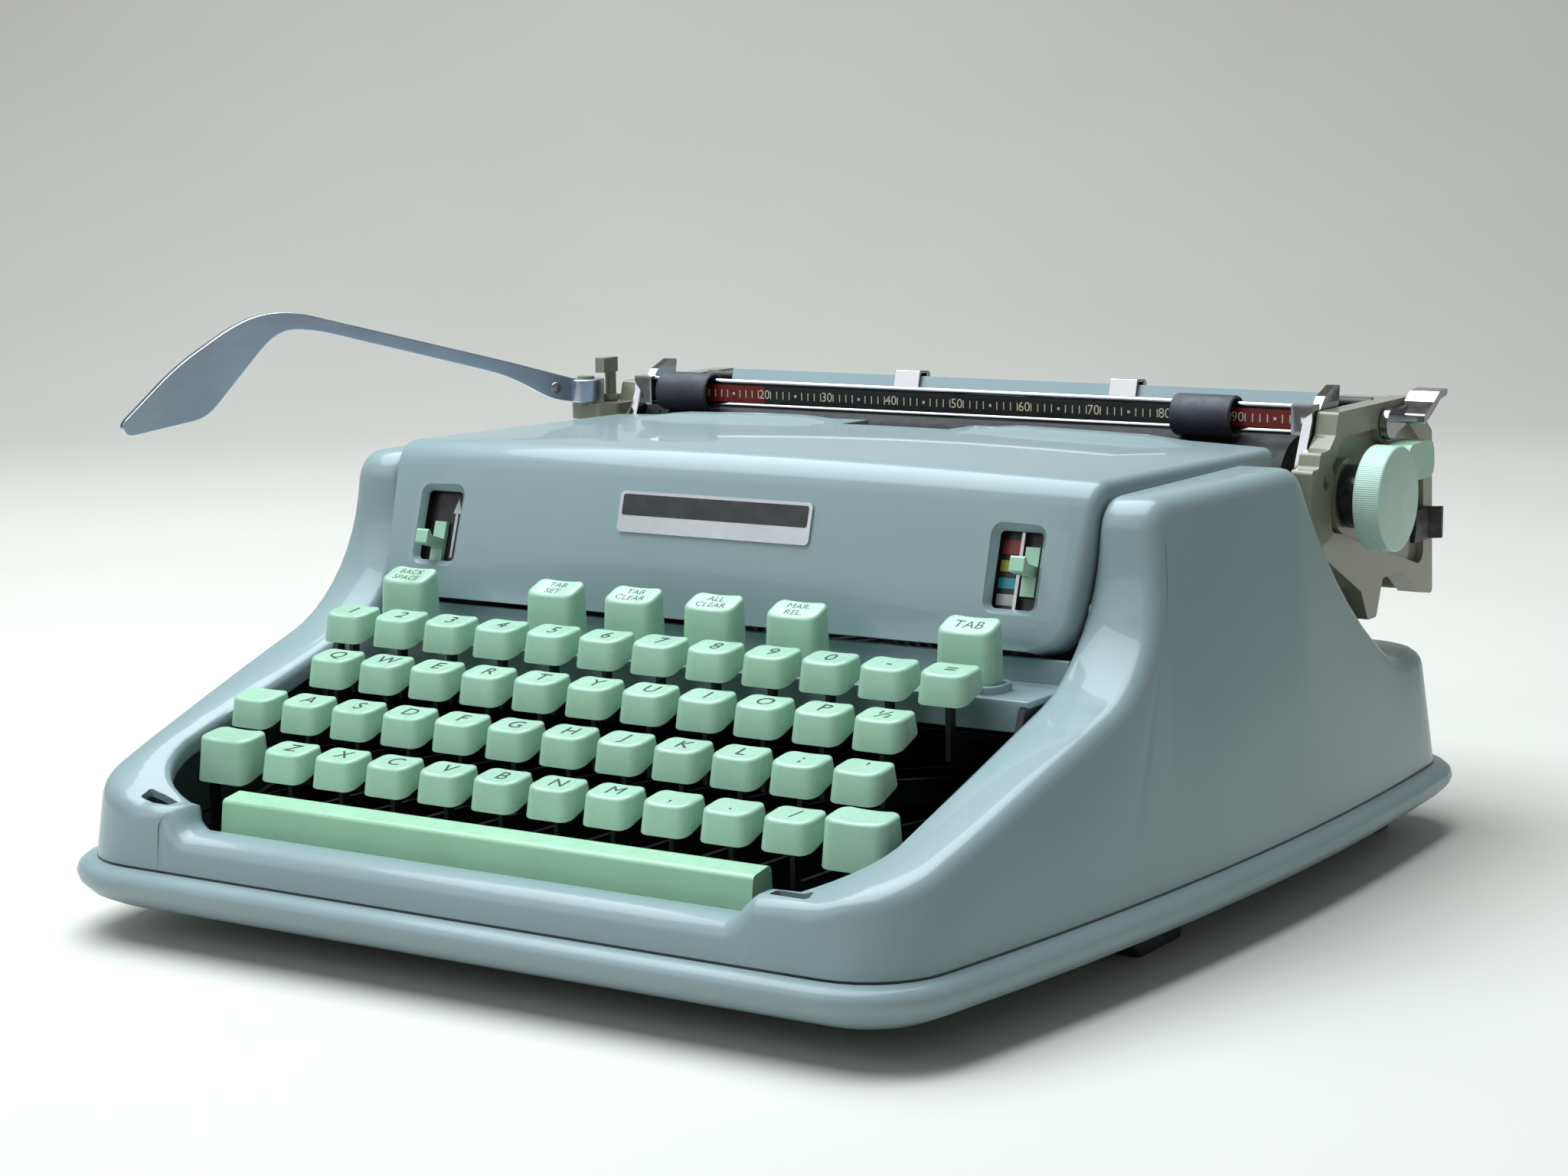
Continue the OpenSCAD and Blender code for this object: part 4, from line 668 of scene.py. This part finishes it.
def on_top(x, y, z, run, rise, down=0.0):
    """Places a text in a key's dished top, which starts at y, z in front and tilts by rise over run."""
    tilt = math.atan2(rise, run)
    middle = math.hypot(run, rise) / 2 - down

    def place(u, v):
        lift = dish(u) + INK_LIFT
        up = middle + v
        return (x + u, y + up * math.cos(tilt) - lift * math.sin(tilt),
                z + up * math.sin(tilt) + lift * math.cos(tilt))

    return place


for r, (body, stagger, letters) in enumerate(ROWS):
    front = (row_y(r) + CAP_FRONT_IN, row_z(r) + CAP_H)
    run = CAP_D - CAP_FRONT_IN - CAP_BACK_IN
    items = [(letter, LETTER_H, on_top(key_x(stagger, i), *front, run, CAP_TILT))
             for i, letter in enumerate(letters)]
    glyphs(body + "_legends", items, ink, body)
for body, node, x, first, second in FN:
    top = (x, FN_Y + FN_IN, FN_TOP_Z - FN_FALL, FN_D - 2 * FN_IN, FN_FALL)
    if second:
        lines = [(first, WORD_H, on_top(*top, FIRST_DOWN)), (second, WORD_H, on_top(*top, SECOND_DOWN))]
    else:
        lines = [(first, LONE_WORD_H, on_top(*top, LONE_DOWN))]
    glyphs(body + "_legend", lines, ink, body)

# Bail scale: red ends, ticks and numerals in thin layers on the face of the strip
BAIL_FORWARD = 8.5
BAIL_ROLLER_R = 6.75
BAIL_ROLLER_GAP = 0.4
BAIL_Y = PLATEN_Y - BAIL_FORWARD
BAIL_Z = PLATEN_Z + math.sqrt((PLATEN_R + BAIL_ROLLER_R + BAIL_ROLLER_GAP) ** 2 - BAIL_FORWARD**2)
SCALE_T = 1.2
FACE_Y = BAIL_Y - SCALE_T / 2
UNIT = 2.54
MIDDLE_UNIT = 50
FIRST_UNIT = 3
LAST_UNIT = 97
SCALE_SHIFT = 0.8
RED_ENDS = [("scale_red_left", 2.5, 20), ("scale_red_right", 87, 97.5)]  # name, first and last unit
RED_FACE = FACE_Y - 0.08
RED_HALF_H = 2.9
PRINT_BACK = FACE_Y - 0.1
PRINT_FACE = FACE_Y - 0.16
TICK = (0.18, 1.3)  # half width and half height
DOT = (0.45, 0.45)
NUMERAL_H = 3.1


def unit_x(n):
    """x of a unit of the scale."""
    return (n - MIDDLE_UNIT) * UNIT + SCALE_SHIFT


def on_scale(n):
    """Places a numeral at its unit."""
    return lambda u, v: (unit_x(n) + u, PRINT_FACE, BAIL_Z + v)


for name, first, last in RED_ENDS:
    end = box(unit_x(first), unit_x(last), RED_FACE, FACE_Y, BAIL_Z - RED_HALF_H, BAIL_Z + RED_HALF_H)
    piece(name, *end, scale_red, "bail", "dark_steel")
ticks = []
for n in range(FIRST_UNIT, LAST_UNIT + 1):
    if n % 10:
        x = unit_x(n)
        wide, tall = TICK if n % 5 else DOT
        ticks.append(box(x - wide, x + wide, PRINT_FACE, PRINT_BACK, BAIL_Z - tall, BAIL_Z + tall))
piece("scale_ticks", *joined(ticks), cream, "bail")
glyphs("scale_numerals", [(str(n), NUMERAL_H, on_scale(n)) for n in range(10, 100, 10)], cream, "bail")

# Hood panel pieces are placed in the panel's own plane: x, distance up the panel, height over it
PANEL = math.radians(72.5)
PANEL_Y = -43.5
PANEL_Z = 84.5
PANEL_HALF = 121.0
PANEL_CROWN = 2.4
# The hood is lofted in rows: close ones up to its lower corner, wider ones from there on
CORNER_U = 10.0
CORNER_ROWS = 5
ROW_STEP = 7.75
CROWN_ROWS = 12


def crown(x, u):
    """Rise of the hood's panel over its flat plane."""
    row = u * CORNER_ROWS / CORNER_U if u < CORNER_U else CORNER_ROWS + (u - CORNER_U) / ROW_STEP
    t = min(1.0, row / CROWN_ROWS)
    return PANEL_CROWN * (1 - (x / PANEL_HALF) ** 2) * t * t * (3 - 2 * t)


def on_panel(x, u, h):
    """The point that lies so far up the panel and over it."""
    return (x, PANEL_Y + u * math.cos(PANEL) - h * math.sin(PANEL),
            PANEL_Z + u * math.sin(PANEL) + h * math.cos(PANEL))


def panel_plate(name, outline, low, high, mat, crowned=False):
    """A flat plate on the hood, from low to high over the panel or over its crown."""
    rings = []
    for height in (low, high):
        rings.append([on_panel(x, u, height + (crown(x, u) if crowned else 0.0)) for x, u in outline])
    return piece(name, *loft(rings), mat, "cover")


# Badge: a bare silver plate with a dark field
BADGE_X0 = -33.0
BADGE_X1 = 35.0
BADGE_LOW_U = 24.5
BADGE_HIGH_U = 37.0
BADGE_R = 1.5
BADGE_SINK = 0.4
BADGE_TOP = 0.7
FIELD_IN = 1.2
FIELD_LOW_U = 29.6
FIELD_HIGH_U = 36.0
FIELD_R = 0.8
FIELD_HALF_T = 0.1
plate_outline = rounded_rect(BADGE_X0, BADGE_X1, BADGE_LOW_U, BADGE_HIGH_U, BADGE_R)
field_outline = rounded_rect(BADGE_X0 + FIELD_IN, BADGE_X1 - FIELD_IN, FIELD_LOW_U, FIELD_HIGH_U, FIELD_R)
panel_plate("badge_plate", plate_outline, -BADGE_SINK, BADGE_TOP, badge_silver, crowned=True)
panel_plate("badge_field", field_outline, BADGE_TOP - FIELD_HALF_T, BADGE_TOP + FIELD_HALF_T, badge_black,
            crowned=True)

# Left window: touch arrow; right window: ribbon colours and a divider; all on the floors of the trays
TRAY = -4.4
PRINT_TOP = TRAY + 0.12
DIVIDER_TOP = -2.2
WINDOW_X = 102.2
ARROW_X = 3.2 - WINDOW_X
BAND_X0 = WINDOW_X - 7.0
BAND_X1 = WINDOW_X - 0.6
DIVIDER_HALF = 0.5
DIVIDER_LOW_U = 9
DIVIDER_HIGH_U = 36
ARROW = [(-0.5, 13), (0.5, 13), (0.5, 27), (1.6, 27), (0, 32), (-1.6, 27), (-0.5, 27)]
# Word, colour, lower and upper edge of each band
BANDS = [
    ("red", (0.30, 0.03, 0.02), 27.4, 31.4),
    ("yellow", (0.42, 0.36, 0.05), 22.4, 25.6),
    ("teal", (0.02, 0.26, 0.30), 17.6, 20.6),
    ("grey", (0.42, 0.42, 0.42), 12.8, 16.0),
]
panel_plate("touch_arrow", [(ARROW_X + x, u) for x, u in ARROW], TRAY, PRINT_TOP, pale_grey)
for word, colour, low, high in BANDS:
    enamel = printed("band_" + word, colour, rough=0.4)
    panel_plate("ribbon_band_" + word, rect(BAND_X0, BAND_X1, low, high), TRAY, PRINT_TOP, enamel)
divider = rect(WINDOW_X - DIVIDER_HALF, WINDOW_X + DIVIDER_HALF, DIVIDER_LOW_U, DIVIDER_HIGH_U)
panel_plate("ribbon_divider", divider, TRAY, DIVIDER_TOP, steel)

# Return lever: a plate with rounded bends in place of the solid's, its hub, and a rivet through its root
RETURN_PIVOT = Vector((-143, 98, 0))
RETURN_TURN = math.radians(24)
RETURN_T = 3.0
RETURN_Z = 131.4
RETURN_BEVEL = 0.5
RETURN_HUB_H = 8.0
RETURN_HUB_R = 6.5
RETURN_BORE_R = 3.05
# Corners: distance from the pivot, height over the root, reach of the rounding
RETURN_CORNERS = [
    (4, 0, 0), (14, 1.5, 5), (32, 11, 8), (105, 30.6, 8), (118, 31.1, 9), (144, 3.5, 5), (172, -1, 3),
    (174, 3, 3), (154, 21, 8), (130, 35.6, 12), (114, 37.6, 9), (32, 16, 8), (4, 8, 0),
]
NEXT_CORNER = 0.48  # the most of a side that one corner's curve may take


def softened(corners, steps=6):
    """The outline with each corner turned into a curve that starts and ends its reach away."""
    points = []
    neighbours = zip(corners[-1:] + corners, corners, corners[1:] + corners[:1])
    for (au, az, _), (u, z, reach), (bu, bz, _) in neighbours:
        here = Vector((u, z))
        before, after = Vector((au, az)) - here, Vector((bu, bz)) - here
        start = here + before * min(NEXT_CORNER, reach / before.length)
        stop = here + after * min(NEXT_CORNER, reach / after.length)
        for t in ([k / steps for k in range(steps + 1)] if reach else [0.0]):
            points.append(start * (1 - t) ** 2 + here * (2 * t * (1 - t)) + stop * t * t)
    return points


outline = [(-p.x, p.y + RETURN_Z) for p in softened(RETURN_CORNERS)][::-1]
verts, faces = prism(outline, -RETURN_T / 2, RETURN_T / 2)
turn = Matrix.Rotation(-RETURN_TURN, 4, "Z")
plate = ([RETURN_PIVOT + turn @ Vector(v) for v in verts], faces)
hub = washer(RETURN_PIVOT, (1, 0, 0), (0, 1, 0), UP, RETURN_HUB_R, RETURN_BORE_R,
             RETURN_Z, RETURN_Z + RETURN_HUB_H)
o = piece("lever_plate", *joined([plate, hub]), alloy, "return_arm", smooth=True)
rounded_edges(o, RETURN_BEVEL)
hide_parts("return_lever")

RIVET_U = 13.0
RIVET_Z = 137.0
RIVET_R = 2.1
RIVET_POINTS = 20
RIVET_DOME = ((1.0, 0.0), (1.0, 0.3), (0.8, 0.6), (0.4, 0.75))  # share of its radius, height


def rivet(name, side):
    """A rivet's head on one side of the return lever."""
    along = Vector((-math.sin(RETURN_TURN), -math.cos(RETURN_TURN), 0))
    out = Vector((-along.y, along.x, 0)) * side
    centre = RETURN_PIVOT + along * RIVET_U + UP * RIVET_Z
    turns = [2 * math.pi * k / RIVET_POINTS for k in range(RIVET_POINTS)]
    rings = []
    for size, rise in RIVET_DOME:
        middle, radius = centre + out * (RETURN_T / 2 + rise), RIVET_R * size
        rings.append([middle + (along * math.cos(t) + UP * math.sin(t)) * radius for t in turns])
    piece(name, *loft(rings), steel, "return_arm", smooth=True)


rivet("lever_rivet_outer", 1)
rivet("lever_rivet_inner", -1)

# Bent clip on the rear border of the right end plate, seen from above and at four heights
CLIP = [
    (136.0, 172), (137.6, 172), (137.6, 185.5), (140.6, 188), (140.6, 189.6), (136.8, 187.6), (136.0, 186.5),
]
CLIP_Z = (89.5, 94.4, 95.6, 100.0)
CLIP_BEAD = 0.5  # how far its outer face bulges at the two heights in the middle
rings = []
for level, z in enumerate(CLIP_Z):
    rings.append([(x + (CLIP_BEAD if level in (1, 2) and i in (1, 2) else 0.0), y, z)
                  for i, (x, y) in enumerate(CLIP)])
piece("plate_clip", *loft(rings), black_steel, "carriage")

# Floor: a sweep that turns up behind the machine, square to the camera.
# From here on lengths are in metres and angles in radians, apart from the floor's noise
YAW = 0.571574
PITCH_DOWN = 0.154100
ROLL = -0.013090
SWEEP_FROM = -4.0
SWEEP_BACK = 1.3
SWEEP_R = 0.8
SWEEP_TOP = 3.5
SWEEP_HALF = 5.0
SWEEP_STEPS = 15
away = Vector((-math.sin(YAW), math.cos(YAW), 0))
across = Vector((math.cos(YAW), math.sin(YAW), 0))
profile = [(SWEEP_FROM, 0.0)]
for step in range(SWEEP_STEPS + 1):
    a = math.pi / 2 * step / SWEEP_STEPS
    profile.append((SWEEP_BACK + SWEEP_R * math.sin(a), SWEEP_R * (1 - math.cos(a))))
profile.append((SWEEP_BACK + SWEEP_R, SWEEP_TOP))
verts = [away * d + across * w + UP * h for d, h in profile for w in (-SWEEP_HALF, SWEEP_HALF)]
mesh = bpy.data.meshes.new("floor")
mesh.from_pydata(verts, [], [(2 * i, 2 * i + 1, 2 * i + 3, 2 * i + 2) for i in range(len(profile) - 1)])
mesh.polygons.foreach_set("use_smooth", [True] * len(mesh.polygons))
floor = bpy.data.objects.new("floor", mesh)
bpy.context.scene.collection.objects.link(floor)
floor_look = Look("floor", 0.6)
floor_look.colour(floor_look.ramp(floor_look.noise(300, 2), (0.64, 0.61, 0.565), (0.67, 0.64, 0.595)))
mesh.materials.append(floor_look.mat)
floor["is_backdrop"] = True

# Light
WORLD_COLOUR = (0.80, 0.82, 0.85, 1)
WORLD_STRENGTH = 0.22
world = bpy.data.worlds.new("studio")
bpy.context.scene.world = world
world.use_nodes = True
world.node_tree.nodes["Background"].inputs["Color"].default_value = WORLD_COLOUR
world.node_tree.nodes["Background"].inputs["Strength"].default_value = WORLD_STRENGTH


def area(name, at, to, size, power, colour):
    """A rectangular light that looks from one point to another; size in metres, power in watts."""
    light = bpy.data.lights.new(name, "AREA")
    light.shape = "RECTANGLE"
    light.size, light.size_y = size
    light.energy = power
    light.color = colour
    o = bpy.data.objects.new(name, light)
    o.location = at
    o.rotation_euler = (Vector(to) - Vector(at)).to_track_quat("-Z", "Y").to_euler()
    bpy.context.scene.collection.objects.link(o)


area("sky", (-0.4, 0.0, 1.5), (0, 0, 0.05), (1.8, 1.4), 50, (0.86, 0.96, 1.0))
area("front", (-0.9, -1.5, 1.0), (0, 0, 0.08), (1.2, 0.9), 5, (0.96, 0.98, 1.0))
area("side", (1.8, -0.3, 0.6), (0, 0, 0.08), (0.9, 0.8), 0.3, (1.0, 0.93, 0.82))

# Camera, as solved from the photograph
CAMERA_AT = Vector((0.511705, -0.792135, 0.234777))
FOCAL_PX = 4076.68
WIDTH_PX = 2048
SENSOR_MM = 36
forward = away * math.cos(PITCH_DOWN) - UP * math.sin(PITCH_DOWN)
upward = across.cross(forward)
x_axis = math.cos(ROLL) * across + math.sin(ROLL) * upward
y_axis = math.cos(ROLL) * upward - math.sin(ROLL) * across
cam_data = bpy.data.cameras.new("camera")
cam_data.sensor_width = SENSOR_MM
cam_data.lens = FOCAL_PX * SENSOR_MM / WIDTH_PX
cam = bpy.data.objects.new("camera", cam_data)
facing = Matrix((x_axis, y_axis, -forward)).transposed().to_4x4()
cam.matrix_world = Matrix.Translation(CAMERA_AT) @ facing
bpy.context.scene.collection.objects.link(cam)
bpy.context.scene.camera = cam
bpy.context.scene.view_settings.view_transform = "Standard"

low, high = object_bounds()
